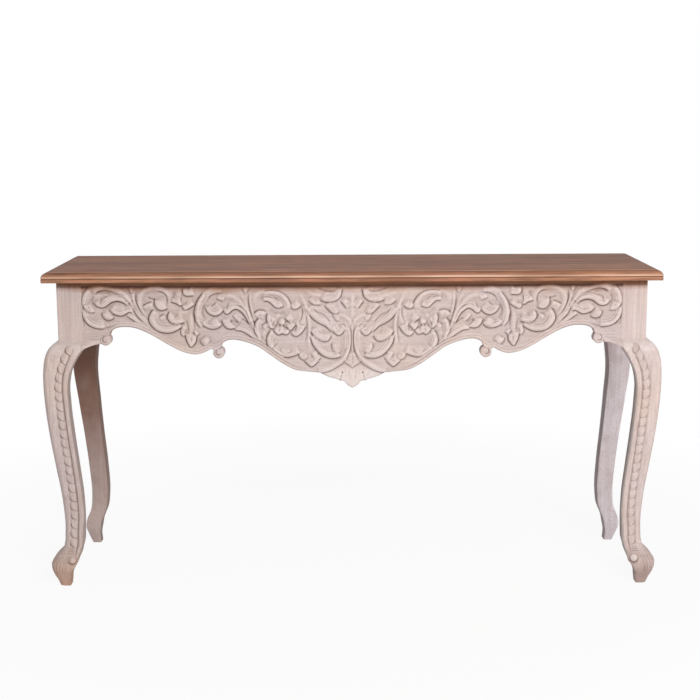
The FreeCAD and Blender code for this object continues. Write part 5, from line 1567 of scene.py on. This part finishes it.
def studio_floor():
    """Pale floor that keeps the table's shadow near it and fades to white further out."""
    material, tree = new_material("pale studio floor")
    where = add(tree, "ShaderNodeTexCoord").outputs["Object"]
    away = add(tree, "ShaderNodeVectorMath", {0: where}, operation="LENGTH")
    clean = add(tree, "ShaderNodeMapRange", {"Value": away.outputs["Value"], "From Min": 0.8, "From Max": 1.8,
                                             "To Min": 0.92, "To Max": 1.0})
    seen = seen_by_camera(tree)
    share = add(tree, "ShaderNodeMath", {0: seen.outputs[0], 1: clean.outputs[0]}, operation="MULTIPLY")
    dull = add(tree, "ShaderNodeBsdfDiffuse", {"Color": linear("#F4F2F0")})
    white = add(tree, "ShaderNodeEmission", {"Color": (1.0, 1.0, 1.0, 1.0), "Strength": 1.0})
    mixed = add(tree, "ShaderNodeMixShader", {0: share.outputs[0], 1: dull.outputs[0], 2: white.outputs[0]})
    add(tree, "ShaderNodeOutputMaterial", {"Surface": mixed.outputs[0]})
    mesh = bpy.data.meshes.new("studio_floor")
    reach = 9.0
    mesh.from_pydata([(-reach, -reach, 0), (reach, -reach, 0), (reach, reach, 0), (-reach, reach, 0)], [],
                     [(0, 1, 2, 3)])
    mesh.materials.append(material)
    floor = bpy.data.objects.new("studio_floor", mesh)
    bpy.context.scene.collection.objects.link(floor)


def studio_world():
    """Soft white light all round, and plain white where the camera looks past the table."""
    world = bpy.data.worlds.new("white studio")
    world.use_nodes = True
    tree = world.node_tree
    tree.nodes.clear()
    seen = seen_by_camera(tree)
    soft = add(tree, "ShaderNodeBackground", {"Color": (1.0, 1.0, 1.0, 1.0), "Strength": 0.27})
    white = add(tree, "ShaderNodeBackground", {"Color": (1.0, 1.0, 1.0, 1.0), "Strength": 1.0})
    mixed = add(tree, "ShaderNodeMixShader", {0: seen.outputs[0], 1: soft.outputs[0], 2: white.outputs[0]})
    add(tree, "ShaderNodeOutputWorld", {"Surface": mixed.outputs[0]})
    bpy.context.scene.world = world


def soft_lamp(name, place_at, aim, width, height, power):
    """Large soft box at a place, turned towards a point."""
    lamp = bpy.data.lights.new(name, "AREA")
    lamp.shape = "RECTANGLE"
    lamp.size = width
    lamp.size_y = height
    lamp.energy = power
    held = bpy.data.objects.new(name, lamp)
    held.location = place_at
    held.rotation_euler = (Vector(aim) - Vector(place_at)).to_track_quat("-Z", "Y").to_euler()
    bpy.context.scene.collection.objects.link(held)


def photo_camera():
    """Camera where the photograph was taken from: a long lens, a little above the top."""
    pitch, yaw, roll = (math.radians(angle) for angle in (9.986, 0.152, -0.258))
    ahead = Vector((math.sin(yaw) * math.cos(pitch), math.cos(yaw) * math.cos(pitch), -math.sin(pitch)))
    right = Vector((math.cos(yaw), -math.sin(yaw), 0))
    up = right.cross(ahead)
    tilted = right * math.cos(roll) + up * math.sin(roll)
    upward = up * math.cos(roll) - right * math.sin(roll)
    data = bpy.data.cameras.new("photo_camera")
    data.sensor_width = 36.0
    data.lens = 68.94
    camera = bpy.data.objects.new("photo_camera", data)
    turn = Matrix((tilted, upward, -ahead)).transposed().to_4x4()
    camera.matrix_world = Matrix.Translation((-0.0144, -3.4061, 1.1636)) @ turn
    bpy.context.scene.collection.objects.link(camera)
    bpy.context.scene.camera = camera


studio_floor()
studio_world()
soft_lamp("key soft box", (1.0, -3.5, 2.2), (0.0, -0.1, 0.5), 1.8, 1.2, 94.0)
soft_lamp("fill soft box", (-2.8, -2.4, 1.5), (0.0, 0.0, 0.5), 1.6, 1.6, 5.0)
soft_lamp("side soft box", (2.5, -1.6, 0.7), (0.65, 0.15, 0.35), 1.2, 1.2, 11.0)
photo_camera()
bpy.context.scene.view_settings.view_transform = "Standard"
